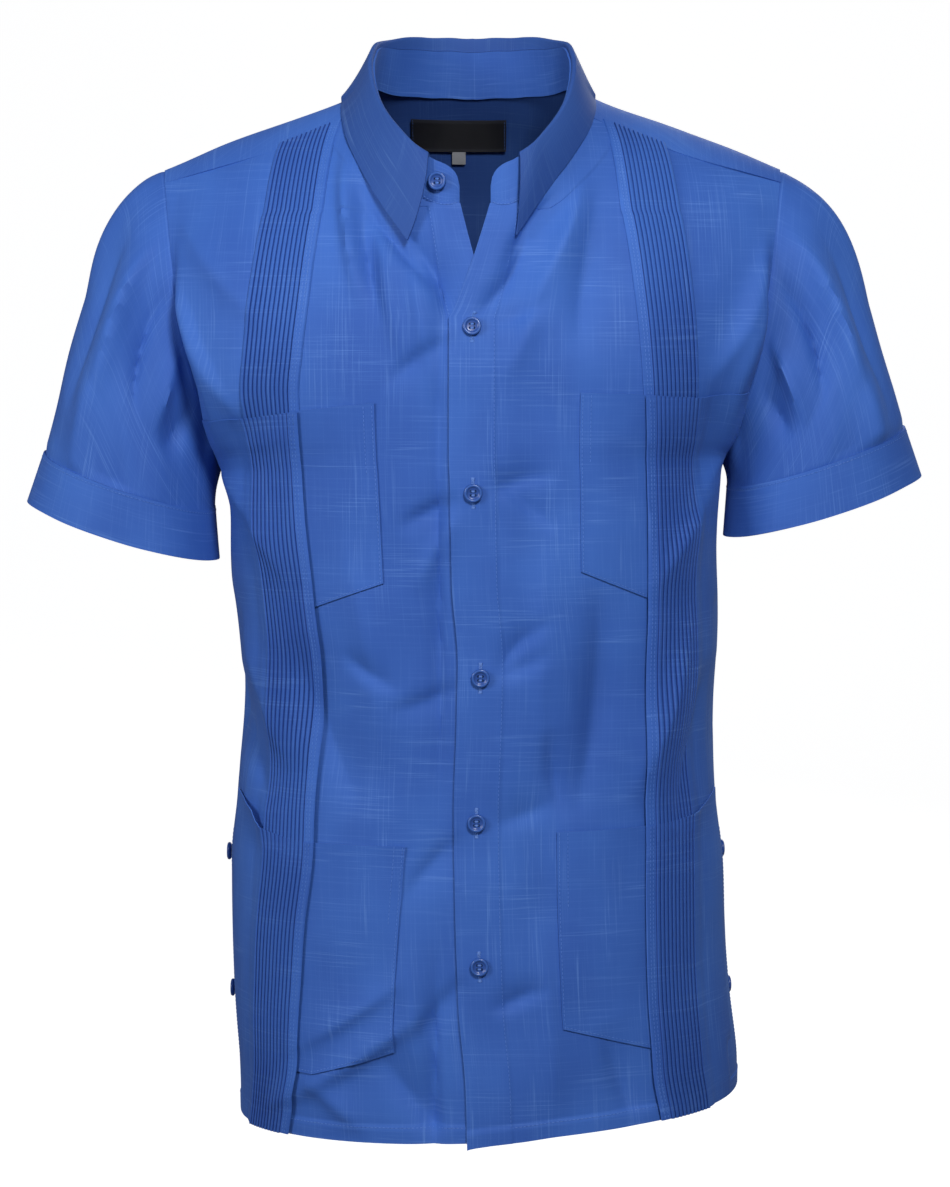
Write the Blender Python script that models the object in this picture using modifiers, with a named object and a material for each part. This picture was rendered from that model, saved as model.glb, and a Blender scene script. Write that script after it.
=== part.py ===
"""A short-sleeved guayabera shirt, filled out as if worn, with nobody in it.

Run with: blender --background --python part.py

Metres, +Z up. The shirt's front faces -Y, and +X is the wearer's left. The origin is between
the two points where the shoulders meet the neck, which is where a wearer's neck holds the shirt.

Every cloth piece is a flat grid of cloth laid on one form. The form is worked out from level
sections (TORSO) closed over a shoulder ridge (RIDGE). A place on a front or back panel is given
by its distance round the body from the centre line and by its height, so tucks, pockets and
hems stay straight on the cloth while the form bends them.
"""

import math
from collections import namedtuple

import bmesh
import bpy
import numpy as np
from mathutils import Matrix, Vector

# Cloth, in metres
WALL = 0.0012  # one thickness of the shirting, as a solid wall
DOUBLE_WALL = 0.0018  # collar, stand and cuffs, which are two layers and a stiffener
SEAM_GAP = 0.0006  # between pieces that are sewn edge to edge
LAYER_GAP = 0.0005  # between a piece and what it is sewn on
ARMHOLE_GAP = 0.0020  # from the body's cut edge to the sleeve

# Lengths and heights, with 0 at the neck point of the shoulder
HEM_HEIGHT = -0.726
VENT_TOP = -0.520
HEM_FADE = -0.660  # the hem's unevenness dies out at this height
HEM_RISE = {"right": (0.0075, 0.0), "left": (0.0, 0.022)}  # at the front edge and at the side
HEM_BEND = {"right": 0.35, "left": 0.70}  # how soon the unevenness runs out from the front edge
ARMPIT_HEIGHT = -0.250
CHEST_HEIGHT = -0.200  # above this the form rounds over to the shoulder ridge
BACK_YOKE_HEIGHT = -0.105
UPPER_START = -0.105  # front rows are level below this
TOP_BUTTON_HEIGHT = -0.155
NECK_HEIGHT = -0.072

# Widths on the flat cloth, from the centre front
OVERLAP = 0.0155  # each front runs this far past the centre line
BAND_WIDTH = 0.0430  # of the band of tucks
BAND_STRIP = 0.0075 # the flat stitched strip along the band's inner edge
TUCKS = 11
TUCK_HEIGHT = 0.0010
VENT_OPENING = {"right": 0.0060, "left": 0.0022}  # how far a vent's front edge stands off

# The band of tucks runs straight down the cloth. The open collar draws its upper end inwards.
BandRow = namedtuple("BandRow", "height right left")  # height where the row meets the armhole
BAND = (
    BandRow(HEM_HEIGHT, 0.1459, 0.1220),
    BandRow(-0.677, 0.1355, 0.1172),
    BandRow(-0.575, 0.1223, 0.1180),
    BandRow(-0.516, 0.1140, 0.1190),
    BandRow(-0.390, 0.1120, 0.1170),
    BandRow(-0.345, 0.1130, 0.1205),
    BandRow(-0.260, 0.1195, 0.1215),
    BandRow(-0.208, 0.1200, 0.1185),
    BandRow(-0.180, 0.1170, 0.1160),
    BandRow(-0.145, 0.1128, 0.1125),
    BandRow(-0.105, 0.1082, 0.1082),
    BandRow(-0.091, 0.1058, 0.1058),
    BandRow(-0.067, 0.1030, 0.1030),
    BandRow(-0.058, 0.1015, 0.1015),
)

SQUARENESS = 2.3  # a section's superellipse power; 2 is an ellipse
SHOULDER_ROUNDNESS = 1.7  # the same for the way the chest closes over the shoulder
RIDGE_Y = 0.005

TorsoRow = namedtuple("TorsoRow", "height half_width front_depth back_depth centre_x")
TORSO = (
    TorsoRow(-0.780, 0.1795, 0.128, 0.130, 0.0130),
    TorsoRow(-0.687, 0.1798, 0.126, 0.126, 0.0112),
    TorsoRow(-0.628, 0.1785, 0.123, 0.120, 0.0062),
    TorsoRow(-0.545, 0.1772, 0.121, 0.116, 0.0036),
    TorsoRow(-0.495, 0.1718, 0.120, 0.111, 0.0030),
    TorsoRow(-0.430, 0.1685, 0.121, 0.112, 0.0050),
    TorsoRow(-0.390, 0.1698, 0.122, 0.114, 0.0058),
    TorsoRow(-0.335, 0.1732, 0.124, 0.119, 0.0018),
    TorsoRow(-0.262, 0.1728, 0.126, 0.125, 0.0005),
    TorsoRow(-0.250, 0.1750, 0.126, 0.126, 0.0000),
    TorsoRow(-0.240, 0.1810, 0.126, 0.126, 0.0000),
    TorsoRow(-0.226, 0.1890, 0.126, 0.127, 0.0000),
    TorsoRow(-0.208, 0.1985, 0.126, 0.128, 0.0000),
    TorsoRow(-0.190, 0.2060, 0.126, 0.128, 0.0000),
    TorsoRow(-0.165, 0.2150, 0.126, 0.128, 0.0000),
    TorsoRow(-0.100, 0.2340, 0.126, 0.129, 0.0000),
    TorsoRow(0.060, 0.2500, 0.126, 0.130, 0.0000),
)

RidgeRow = namedtuple("RidgeRow", "x height")
RIDGE = (
    RidgeRow(0.000, 0.0500),
    RidgeRow(0.012, 0.0488),
    RidgeRow(0.036, 0.0360),
    RidgeRow(0.063, 0.0130),
    RidgeRow(0.078, 0.0045),
    RidgeRow(0.092, -0.0020),
    RidgeRow(0.150, -0.0225),
    RidgeRow(0.206, -0.0445),
    RidgeRow(0.260, -0.0660),
)

ArmholeRow = namedtuple("ArmholeRow", "height front_x back_x")
ARMHOLE = (
    ArmholeRow(-0.2500, 0.1750, 0.1750),
    ArmholeRow(-0.2400, 0.1790, 0.1795),
    ArmholeRow(-0.2260, 0.1855, 0.1865),
    ArmholeRow(-0.2080, 0.1915, 0.1930),
    ArmholeRow(-0.1900, 0.1965, 0.1985),
    ArmholeRow(-0.1650, 0.2020, 0.2045),
    ArmholeRow(-0.1300, 0.2075, 0.2100),
    ArmholeRow(-0.0900, 0.2130, 0.2145),
    ArmholeRow(-0.0580, 0.2180, 0.2185),
    ArmholeRow(-0.0510, 0.2200, 0.2200),
)

# The neckline seen from above is an ellipse. Angles turn from the centre back to the front.
NECK_HALF_WIDTH = 0.073
NECK_HALF_LENGTH = 0.0830
NECK_CENTRE_Y = -0.0185
NECK_FRONT_TURN = math.pi + math.asin(OVERLAP / NECK_HALF_WIDTH)
YOKE_SEAM_TURN = math.radians(99)
YOKE_SEAM_DROP = 0.006  # how far the front yoke seam dips between its ends
YOKE_ARMHOLE_HEIGHT = -0.058

# The collar is worn open, so each front's upper edge has moved away from the centre
OPEN_SPREAD = {"right": 0.0253, "left": 0.0297}
OPEN_REACH = 0.110  # the spread dies out at this distance from the front edge

# Sides: right and left are the wearer's. Seen from the front, the right is at -X.
SIDE_SIGN = {"right": -1.0, "left": 1.0}
FRONT_LIFT = {"right": 0.0, "left": WALL + LAYER_GAP}  # the left front lies on the right one

# Collar, by the turn round the neck in degrees
StandRow = namedtuple("StandRow", "turn height lean leaf_rise")
STAND = (
    StandRow(0, 0.0315, 0.0060, 0.0100),
    StandRow(40, 0.0312, 0.0055, 0.0092),
    StandRow(75, 0.0278, 0.0045, 0.0036),
    StandRow(115, 0.0245, 0.0030, 0.0040),
    StandRow(150, 0.0280, 0.0015, 0.0045),
    StandRow(168.5, 0.0305, 0.0005, 0.0028),
    StandRow(193, 0.0285, 0.0000, 0.0028),
)
STAND_END_RADIUS = math.radians(17)  # the turn over which the stand's front end rounds off
LEAF_TURN = 168.5
LEAF_BULGE = 0.004

LeafRow = namedtuple("LeafRow", "turn right_x left_x y right_height left_height")
LEAF_EDGE = (
    LeafRow(0, 0.0000, 0.0000, 0.0840, 0.003, 0.003),
    LeafRow(14, 0.0225, 0.0220, 0.0825, 0.003, 0.003),
    LeafRow(45, 0.0670, 0.0650, 0.055, 0.003, 0.003),
    LeafRow(75, 0.0890, 0.0845, 0.013, 0.005, 0.006),
    LeafRow(95, 0.0930, 0.0875, -0.017, 0.001, 0.003),
    LeafRow(104, 0.0925, 0.0875, -0.030, -0.008, -0.005),
    LeafRow(115, 0.0885, 0.0845, -0.045, -0.027, -0.018),
    LeafRow(135, 0.0755, 0.0700, -0.060, -0.0555, -0.0435),
    LeafRow(155, 0.0605, 0.0530, -0.075, -0.0805, -0.0670),
    LeafRow(LEAF_TURN, 0.0440, 0.0305, -0.085, -0.1035, -0.1000),
)
LEAF_CLEARANCE = 0.0078  # from the chest's outer face to the leaf's edge

# Sleeves
SleeveRow = namedtuple("SleeveRow", "cuff_x cuff_y cuff_height half_across half_depth")
SLEEVE = {
    "right": SleeveRow(0.2495, -0.004, -0.3050, 0.0700, 0.0590),
    "left": SleeveRow(0.2502, -0.004, -0.2877, 0.0724, 0.0590),
}
CUFF_SLANT = math.radians(17.4)  # of the cuff's width, from level
CUFF_FRONT_DROP = 0.006
ARMPIT_CLEARANCE = 0.0030  # between the body and the sleeve under the arm
CUFF_WIDTH = 0.036
SleeveFlow = namedtuple("SleeveFlow", "outward down reach")
LEAVES_ARMHOLE = {
    "top": SleeveFlow(0.93, -0.37, 0.175),
    "underarm": SleeveFlow(0.50, -0.87, 0.035),
}
ENTERS_CUFF = {
    "top": SleeveFlow(0.30, -0.954, 0.230),
    "underarm": SleeveFlow(-0.10, -1.0, 0.040),
}

# Patch pockets, by heights and by flat distances from the centre front
PocketRow = namedtuple("PocketRow", "name top side_bottom point_bottom inner outer")
POCKETS = (
    PocketRow("chest", -0.210, -0.332, -0.351, 0.066, 0.206),
    PocketRow("hip", -0.511, -0.651, -0.669, 0.052, 0.207),
)

# Buttons
BUTTON_RADIUS = 0.0064
BUTTON_THICKNESS = 0.0026
BUTTON_HOLE_RADIUS = 0.0008
BUTTON_HOLE_SPACING = 0.0027
FRONT_BUTTONS = (-0.162, -0.274, -0.400, -0.500, -0.599)
VENT_BUTTONS = (-0.5415, -0.6425)
VENT_BUTTON_SETBACK = {"right": 0.010, "left": 0.022}  # behind the side seam
COLLAR_BUTTON_TURN = 174.5

LABEL_SIZE = (0.070, 0.022)
SIZE_TAB = (0.010, 0.008)
LABEL_THICKNESS = 0.0008
LABEL_TOP = -0.008
LABEL_X = -0.010

BLUE = (0.045, 0.125, 0.435, 1.0)
DARK_BLUE = (0.028, 0.085, 0.330, 1.0)
BLACK = (0.012, 0.012, 0.014, 1.0)
GREY = (0.42, 0.43, 0.44, 1.0)


# ---------------------------------------------------------------- curves through tables


def smooth_curve(stops, values, at):
    """The value at each place, on a smooth curve that never overshoots its stops."""
    stops = np.asarray(stops, float)
    values = np.asarray(values, float)
    at = np.asarray(at, float)
    steps = np.diff(values) / np.diff(stops)
    slopes = np.zeros_like(values)
    slopes[0], slopes[-1] = steps[0], steps[-1]
    before, after = steps[:-1], steps[1:]
    total = np.where(before * after > 0, before + after, 1.0)
    slopes[1:-1] = np.where(before * after > 0, 2 * before * after / total, 0.0)
    i = np.clip(np.searchsorted(stops, at) - 1, 0, len(stops) - 2)
    width = stops[i + 1] - stops[i]
    t = np.clip((at - stops[i]) / width, 0, 1)
    return (
        values[i] * (1 + 2 * t) * (1 - t) ** 2
        + values[i + 1] * t * t * (3 - 2 * t)
        + slopes[i] * width * t * (1 - t) ** 2
        - slopes[i + 1] * width * t * t * (1 - t)
    )


def from_table(table, column, at):
    """A named column of a table, read at a value of the table's first column."""
    stops = [row[0] for row in table]
    return smooth_curve(stops, [getattr(row, column) for row in table], at)


def eased(t):
    """0 to 1 with level ends."""
    t = np.clip(t, 0, 1)
    return t * t * (3 - 2 * t)


def between(a, b, share):
    """Part of the way from a to b."""
    return a + (b - a) * share


# ---------------------------------------------------------------- the form


def superellipse(share, power):
    """The height of a unit superellipse at a share of its half width."""
    return np.maximum(0, 1 - np.clip(np.abs(share), 0, 1) ** power) ** (1 / power)


def form_y(x, height, facing):
    """How far forward (facing -1) or back (facing 1) the form is, seen from the front."""
    column = "front_depth" if facing < 0 else "back_depth"
    depth = from_table(TORSO, column, height)
    reach = depth * superellipse(x / from_table(TORSO, "half_width", height), SQUARENESS)
    ridge = from_table(RIDGE, "height", np.abs(x))
    fall = np.clip((ridge - height) / (ridge - CHEST_HEIGHT), 0, 1)
    closing = superellipse(1 - fall, SHOULDER_ROUNDNESS)
    return facing * reach * closing + RIDGE_Y * (1 - fall)


class Sections:
    """One face of the form, front or back, read by distance round it and height."""

    HEIGHT_STEP = 0.005
    FLAT_STEP = 0.0025
    LONGEST = 0.32

    def __init__(self, facing):
        self.facing = facing
        self.heights = np.arange(-0.80, 0.045, self.HEIGHT_STEP)
        self.flats = np.arange(0, self.LONGEST, self.FLAT_STEP)
        rows = [self.section(height) for height in self.heights]
        self.x = np.array([np.interp(self.flats, along, x) for x, y, along in rows])
        self.y = np.array([np.interp(self.flats, along, y) for x, y, along in rows])

    def section(self, height):
        """Points along a level section from the centre line out, and the length to each."""
        ridge_x = np.interp(-height, [-r.height for r in RIDGE], [r.x for r in RIDGE])
        widest = float(from_table(TORSO, "half_width", height))
        if height > RIDGE[-1].height:
            widest = min(widest, ridge_x)
        turn = np.linspace(0, math.pi / 2, 300)
        x = widest * np.sin(turn) ** (2 / SQUARENESS)
        y = form_y(x, height, self.facing)
        along = np.concatenate([[0], np.cumsum(np.hypot(np.diff(x), np.diff(y)))])
        return x, y, along

    def flat_at(self, x, height):
        """The distance round the form at a width seen from the front."""
        xs, ys, along = self.section(height)
        return float(np.interp(x, xs, along))

    def side_at(self, height):
        """The distance round to the side seam."""
        return float(self.section(height)[2][-1])

    def points(self, flat, height):
        """Places on the form, by smooth interpolation both ways in the table of sections."""
        flat, height = np.broadcast_arrays(np.asarray(flat, float), np.asarray(height, float))
        column = np.abs(flat) / self.FLAT_STEP
        row = (height - self.heights[0]) / self.HEIGHT_STEP
        x = lattice_value(self.x, row, column) * np.sign(flat)
        y = lattice_value(self.y, row, column)
        x = np.where(np.abs(flat) < 1e-12, 0, x) + from_table(TORSO, "centre_x", height)
        return np.stack([x, y, height], axis=-1)


def lattice_value(table, row, column):
    """Catmull-Rom interpolation in a table. Mirrored columns keep the centre line smooth."""
    padded = np.concatenate([table[:, 1:2], table], axis=1)
    i = np.clip(np.floor(row).astype(int), 1, table.shape[0] - 3)
    j = np.clip(np.floor(column).astype(int), 0, table.shape[1] - 3)
    total = 0.0
    for k, row_weight in enumerate(spline_weights(row - i)):
        for m, column_weight in enumerate(spline_weights(column - j)):
            total = total + row_weight * column_weight * padded[i + k - 1, j + m]
    return total


def spline_weights(t):
    """The four Catmull-Rom weights at t between the two middle points."""
    return (
        0.5 * (-t + 2 * t**2 - t**3),
        0.5 * (2 - 5 * t**2 + 3 * t**3),
        0.5 * (t + 4 * t**2 - 3 * t**3),
        0.5 * (-(t**2) + t**3),
    )


FRONT = Sections(-1)
BACK = Sections(1)


def ridge_point(x, turn):
    """A place on the form near the ridge. turn is 0 on the ridge and 1 at the chest behind."""
    x = np.asarray(x, float)
    angle = np.abs(turn) * math.pi / 2
    fall = 1 - np.cos(angle) ** (2 / SHOULDER_ROUNDNESS)
    ridge = from_table(RIDGE, "height", np.abs(x))
    height = ridge - fall * (ridge - CHEST_HEIGHT)
    y = np.where(np.asarray(turn) < 0, form_y(x, height, -1), form_y(x, height, 1))
    return np.stack(np.broadcast_arrays(x, y, height), axis=-1)


def ridge_turn(x, height, facing):
    """The turn from the ridge at which the form is at this height."""
    ridge = from_table(RIDGE, "height", np.abs(x))
    fall = np.clip((ridge - height) / (ridge - CHEST_HEIGHT), 0, 1)
    return facing * np.arccos((1 - fall) ** (SHOULDER_ROUNDNESS / 2)) / (math.pi / 2)


def neck_point(turn):
    """(x, y, height) of the neckline on the wearer's left. turn 0 is the centre back."""
    x = NECK_HALF_WIDTH * math.sin(turn)
    y = NECK_CENTRE_Y + NECK_HALF_LENGTH * math.cos(turn)
    facing = -1 if y < RIDGE_Y else 1
    low, high = CHEST_HEIGHT, float(from_table(RIDGE, "height", abs(x)))
    for _ in range(40):
        middle = (low + high) / 2
        if facing * (float(form_y(x, middle, facing)) - y) > 0:
            low = middle
        else:
            high = middle
    return x, y, low


def opened(side, flat, height):
    """How far the open collar has moved the front towards its own side."""
    share = np.clip((height - TOP_BUTTON_HEIGHT) / (NECK_HEIGHT - TOP_BUTTON_HEIGHT), 0, 1)
    fade = np.clip(1 - (flat + OVERLAP) / OPEN_REACH, 0, 1) ** 1.5
    return OPEN_SPREAD[side] * share**0.8 * fade


# ---------------------------------------------------------------- pieces of cloth

finishes = {}


def material(name, colour, roughness):
    """A plain Principled material."""
    if name not in finishes:
        made = bpy.data.materials.new(name)
        made.use_nodes = True
        shader = made.node_tree.nodes["Principled BSDF"]
        shader.inputs["Base Color"].default_value = colour
        shader.inputs["Roughness"].default_value = roughness
        finishes[name] = made
    return finishes[name]


def new_object(name, bm, finish):
    """The bmesh as a named object in the shirt's collection."""
    mesh = bpy.data.meshes.new(name)
    bm.to_mesh(mesh)
    bm.free()
    obj = bpy.data.objects.new(name, mesh)
    bpy.data.collections["guayabera_shirt"].objects.link(obj)
    mesh.materials.append(finish)
    return obj


def cloth(name, places, thickness, finish=None, flip=False, closed=False, trim=()):
    """A wall of cloth on a grid of places (rows up, columns across), thickened outwards."""
    rows, columns = places.shape[:2]
    bm = bmesh.new()
    bmesh.ops.create_grid(bm, x_segments=columns - 1, y_segments=rows - 1, size=0.5)
    for vert in bm.verts:
        column = round((vert.co.x + 0.5) * (columns - 1))
        row = round((vert.co.y + 0.5) * (rows - 1))
        vert.co = places[row, column]
    if closed:
        bmesh.ops.remove_doubles(bm, verts=bm.verts, dist=1e-6)
    if flip:
        bmesh.ops.reverse_faces(bm, faces=bm.faces)
    for point, away in trim:
        whole = bm.verts[:] + bm.edges[:] + bm.faces[:]
        bmesh.ops.bisect_plane(
            bm, geom=whole, dist=1e-6, plane_co=point, plane_no=away, clear_outer=True
        )
    obj = new_object(name, bm, finish or material("shirting", BLUE, 0.75))
    wall = obj.modifiers.new("wall", "SOLIDIFY")
    wall.thickness = thickness
    wall.offset = 1.0
    return obj


def normals_of(places):
    """The outward direction at each place of a grid whose columns run across and rows up."""
    across = np.gradient(places, axis=1)
    up = np.gradient(places, axis=0)
    normal = np.cross(across, up)
    return normal / np.linalg.norm(normal, axis=-1, keepdims=True)


class Panel:
    """A panel's grid of places. Pieces sewn on it are read from the same grid, moved out."""

    def __init__(self, across, up, places, flip):
        self.across = np.asarray(across, float)
        self.up = np.asarray(up, float)
        self.places = places
        self.flip = flip
        self.normals = normals_of(places) * (-1 if flip else 1)

    def at(self, across, up, lift):
        """Places over the panel's own facets, moved out. The three arrays have one shape."""
        across, up, lift = np.broadcast_arrays(across, up, lift)
        place = self.read(self.places, across, up)
        normal = self.read(self.normals, across, up)
        return place + normal * lift[..., None]

    def read(self, table, across, up):
        """A table over the grid, read straight between its rows and columns."""
        j = np.clip(np.searchsorted(self.across, across, "right") - 1, 0, len(self.across) - 2)
        i = np.clip(np.searchsorted(self.up, up, "right") - 1, 0, len(self.up) - 2)
        s = ((across - self.across[j]) / (self.across[j + 1] - self.across[j]))[..., None]
        t = ((up - self.up[i]) / (self.up[i + 1] - self.up[i]))[..., None]
        low = between(table[i, j], table[i, j + 1], s)
        high = between(table[i + 1, j], table[i + 1, j + 1], s)
        return between(low, high, t)

    def rows_between(self, start, end):
        """The panel's own rows inside a stretch, with its two ends."""
        inside = self.up[(self.up > start + 1e-6) & (self.up < end - 1e-6)]
        return np.concatenate([[start], inside, [end]])


def armhole_x(height, facing):
    """The width, seen from the front, of the armhole's cut edge."""
    return float(from_table(ARMHOLE, "front_x" if facing < 0 else "back_x", height))


def outer_flat(sections, height, vent=0.0):
    """The distance round to the side seam, or above the armpit to the armhole."""
    side = sections.side_at(height)
    if height < VENT_TOP:
        return side - vent * eased((VENT_TOP - height) / 0.08) - SEAM_GAP / 2
    if height <= ARMPIT_HEIGHT:
        return side - SEAM_GAP / 2
    edge = sections.flat_at(armhole_x(height, sections.facing), height)
    return min(edge, side) - SEAM_GAP / 2


# A front's width is counted in zones: 0 to 1 from its edge to the tucks, 1 to 2 across the
# band of tucks, 2 to 3 from there to the side. Its height is 0 to 1 up to UPPER_START and
# 1 to 2 from there to the yoke, where the rows tilt to follow the shoulder.
FRONT_COLUMNS = (0, 0.2290, 0.50, 0.75, 1, 1.5, 2, 2.25, 2.5, 2.75, 3)
FRONT_LEVELS = (
    HEM_HEIGHT, -0.669, -0.600, -0.511, -0.455, -0.400, -0.345, -0.285, -0.250, -0.226, -0.208,
    -0.180, -0.145, UPPER_START,
)  # fmt: skip
UPPER_STOPS = (1.15, 1.30, 1.55, 1.80, 2.0)
NECK_STOP = 1.30  # the front's inner edge meets the neckline here


def up_of(height):
    """A height below UPPER_START as a front's up value."""
    return (height - HEM_HEIGHT) / (UPPER_START - HEM_HEIGHT)


def front_row(side, up):
    """(inner flat, inner height, outer flat, outer height) of one row of a front."""
    vent = VENT_OPENING[side]
    if up <= 1:
        height = between(HEM_HEIGHT, UPPER_START, up)
        return -OVERLAP, height, outer_flat(FRONT, height, vent), height
    outer_height = between(UPPER_START, YOKE_ARMHOLE_HEIGHT, up - 1)
    outer = outer_flat(FRONT, outer_height)
    if up <= NECK_STOP:
        height = between(UPPER_START, neck_point(NECK_FRONT_TURN)[2], (up - 1) / (NECK_STOP - 1))
        return -OVERLAP, height, outer, outer_height
    x, _, height = neck_point(neck_turn_of(up))
    inner = math.copysign(FRONT.flat_at(abs(x), height), x)
    return inner, height, outer, outer_height


def neck_turn_of(up):
    """How far round the neckline a front's row begins."""
    return between(NECK_FRONT_TURN, YOKE_SEAM_TURN, (up - NECK_STOP) / (2 - NECK_STOP))


def band_edges(side, height):
    """The inner and outer edges of the band of tucks, on the row that ends at this height."""
    inner = float(from_table(BAND, side, height))
    return inner, inner + BAND_WIDTH


def front_flat(side, across, up):
    """(flat, height) arrays of one row of a front, at the given zone values."""
    inner, inner_height, outer, outer_height = front_row(side, up)
    flat = np.interp(across, [0, 1, 2, 3], [inner, *band_edges(side, outer_height), outer])
    share = (flat - inner) / (outer - inner)
    sag = YOKE_SEAM_DROP * np.sin(math.pi * share) * eased(up - 1)
    height = between(inner_height, outer_height, share) - sag
    return flat, height + hem_rise(side, share, height)


def hem_rise(side, share, height):
    """How far the hem is drawn up, more towards the side seam. It dies out upwards."""
    low, high = HEM_RISE[side]
    return between(low, high, share ** HEM_BEND[side]) * eased((HEM_FADE - height) / (HEM_FADE - HEM_HEIGHT))


def front_places(side, across, up, seam_shift=0.0):
    """A grid of places on a front panel. seam_shift raises it, for the yoke's own edge."""
    grid = []
    for row in up:
        flat, height = front_flat(side, np.asarray(across, float), row)
        place = FRONT.points(flat * SIDE_SIGN[side], height + seam_shift)
        place[:, 0] += SIDE_SIGN[side] * opened(side, flat, height)
        place[:, 1] -= FRONT_LIFT[side] * (1 - eased((flat - OVERLAP - 0.003) / 0.030))
        grid.append(place)
    return np.array(grid)


def front_panel(side):
    """A front, cut in one with its turned-back button stand."""
    up = [up_of(height) for height in FRONT_LEVELS] + list(UPPER_STOPS)
    places = front_places(side, FRONT_COLUMNS, up)
    panel = Panel(FRONT_COLUMNS, up, places, flip=side == "right")
    cloth(f"front_{side}", places, WALL, flip=panel.flip)
    return panel


def band_stops():
    """Stops across a band of tucks and how high each stands: a flat strip, then the tucks."""
    strip = BAND_STRIP / BAND_WIDTH
    low = np.linspace(strip, 1, TUCKS + 1)
    high = low[:-1] + 0.72 * np.diff(low)
    stops = np.concatenate([[0], np.sort(np.concatenate([low, high]))])
    return stops, np.where(np.isin(stops, high), TUCK_HEIGHT, 0)


def tuck_band(side, panel):
    """The band of narrow tucks from the yoke to the hem."""
    stops, rise = band_stops()
    up = panel.rows_between(up_of(HEM_HEIGHT + 0.0004), 2.0)[:, None]
    lift = WALL + 2 * LAYER_GAP + rise[None, :]
    cloth(f"tuck_band_{side}", panel.at(1 + stops[None, :], up, lift), WALL * 0.8, flip=panel.flip)


def across_of(side, flat, up):
    """A flat distance as a front's across value, on one row."""
    inner, _, outer, height = front_row(side, up)
    return np.interp(flat, [inner, *band_edges(side, height), outer], [0, 1, 2, 3])


def pocket(side, panel, row):
    """A patch pocket with a pointed foot, raised where it repeats the band of tucks."""
    ups = panel.rows_between(up_of(row.point_bottom), up_of(row.top))
    ups = np.unique(np.append(ups, up_of(row.side_bottom)))
    step = 0.002
    across = []
    for up in ups:
        low, high = band_edges(side, front_row(side, up)[3])
        flats = [row.inner, (row.inner + low) / 2, low - step, low, (low + high) / 2, high]
        flats += [high + step, (high + row.outer) / 2, row.outer]
        across.append(across_of(side, np.array(flats), up))
    across = np.array(across)
    rise = np.where((np.arange(9) >= 3) & (np.arange(9) <= 5), TUCK_HEIGHT, 0)
    lift = 2 * WALL + TUCK_HEIGHT + 3 * LAYER_GAP + rise[None, :]
    places = panel.at(across, ups[:, None], lift)
    corner = int(np.argmin(np.abs(ups - up_of(row.side_bottom))))
    foot = Vector(places[0, 3])
    trim = []
    for column in (0, -1):
        side_point = Vector(places[corner, column])
        away = (foot - side_point).cross(Vector((0, -1, 0)))
        trim.append((side_point, away if away.z < 0 else -away))
    name = f"{row.name}_pocket_{side}"
    cloth(name, places, WALL, flip=panel.flip, trim=trim)


def back_panel():
    """The back, from hem to yoke."""
    half = np.array([1.0, 0.94, 0.84, 0.70, 0.48, 0.24])
    shares = np.concatenate([-half, [0], half[::-1]])
    levels = [*FRONT_LEVELS[:-1], BACK_YOKE_HEIGHT - SEAM_GAP / 2]
    grid = []
    for height in levels:
        outer = outer_flat(BACK, height)
        level = height + hem_rise("left", np.maximum(shares, 0), height)
        grid.append(BACK.points(shares * outer, level))
    cloth("back", np.array(grid), WALL, flip=True)


NECK_STOPS = np.linspace(1, 0, 8)  # of the yoke's neckline, seam to centre back


def yoke():
    """The yoke: over both shoulders, from the back seam to the front seams and neckline."""
    rows = np.array([0, 0.25, 0.5, 0.70, 0.86, 1.0])
    columns = [yoke_column(share, None, rows) for share in FRONT_COLUMNS[::-1]]
    columns += [yoke_column(None, share, rows) for share in NECK_STOPS[1:]]
    half = np.array(columns)
    other = half[:-1][::-1] * np.array([-1, 1, 1])
    cloth("yoke", np.concatenate([half, other]).transpose(1, 0, 2), WALL, flip=False)


def yoke_column(across, neck_share, rows):
    """One line of the yoke, from the back seam forwards to a front's seam or the neckline."""
    height = BACK_YOKE_HEIGHT + SEAM_GAP / 2
    back_edge = armhole_x(height, 1) - SEAM_GAP / 2
    if neck_share is None:
        seam = front_places("right", FRONT_COLUMNS, [2.0], SEAM_GAP)[0] * np.array([-1, 1, 1])
        x, _, front = seam[FRONT_COLUMNS.index(across)]
        share = (x - seam[0][0]) / (seam[-1][0] - seam[0][0])
        back_x = back_edge * between(0.42, 1.0, share)
        facing = -1
    else:
        x, y, front = neck_point(YOKE_SEAM_TURN * neck_share)
        share = 0.0
        back_x = back_edge * 0.42 * neck_share
        facing = -1 if y < RIDGE_Y else 1
    start = float(ridge_turn(back_x, height, 1))
    turns = between(start, float(ridge_turn(x, front, facing)), rows)
    widths = between(back_x, x, rows)
    armhole = between(back_edge, armhole_x(YOKE_ARMHOLE_HEIGHT, -1) - SEAM_GAP / 2, rows)
    bulge = share * yoke_bulge(turns, armhole) * np.sin(math.pi * rows) ** 0.5
    return ridge_point(widths + bulge, turns)


def yoke_bulge(turns, armhole):
    """How much farther out the armhole is over the shoulder than on a straight line."""
    edge = armhole
    for _ in range(4):
        heights = ridge_point(edge, turns)[:, 2]
        edge = from_table(ARMHOLE, "back_x", heights) - SEAM_GAP / 2
    return np.maximum(edge - armhole, 0)


# ---------------------------------------------------------------- sleeves


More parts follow.
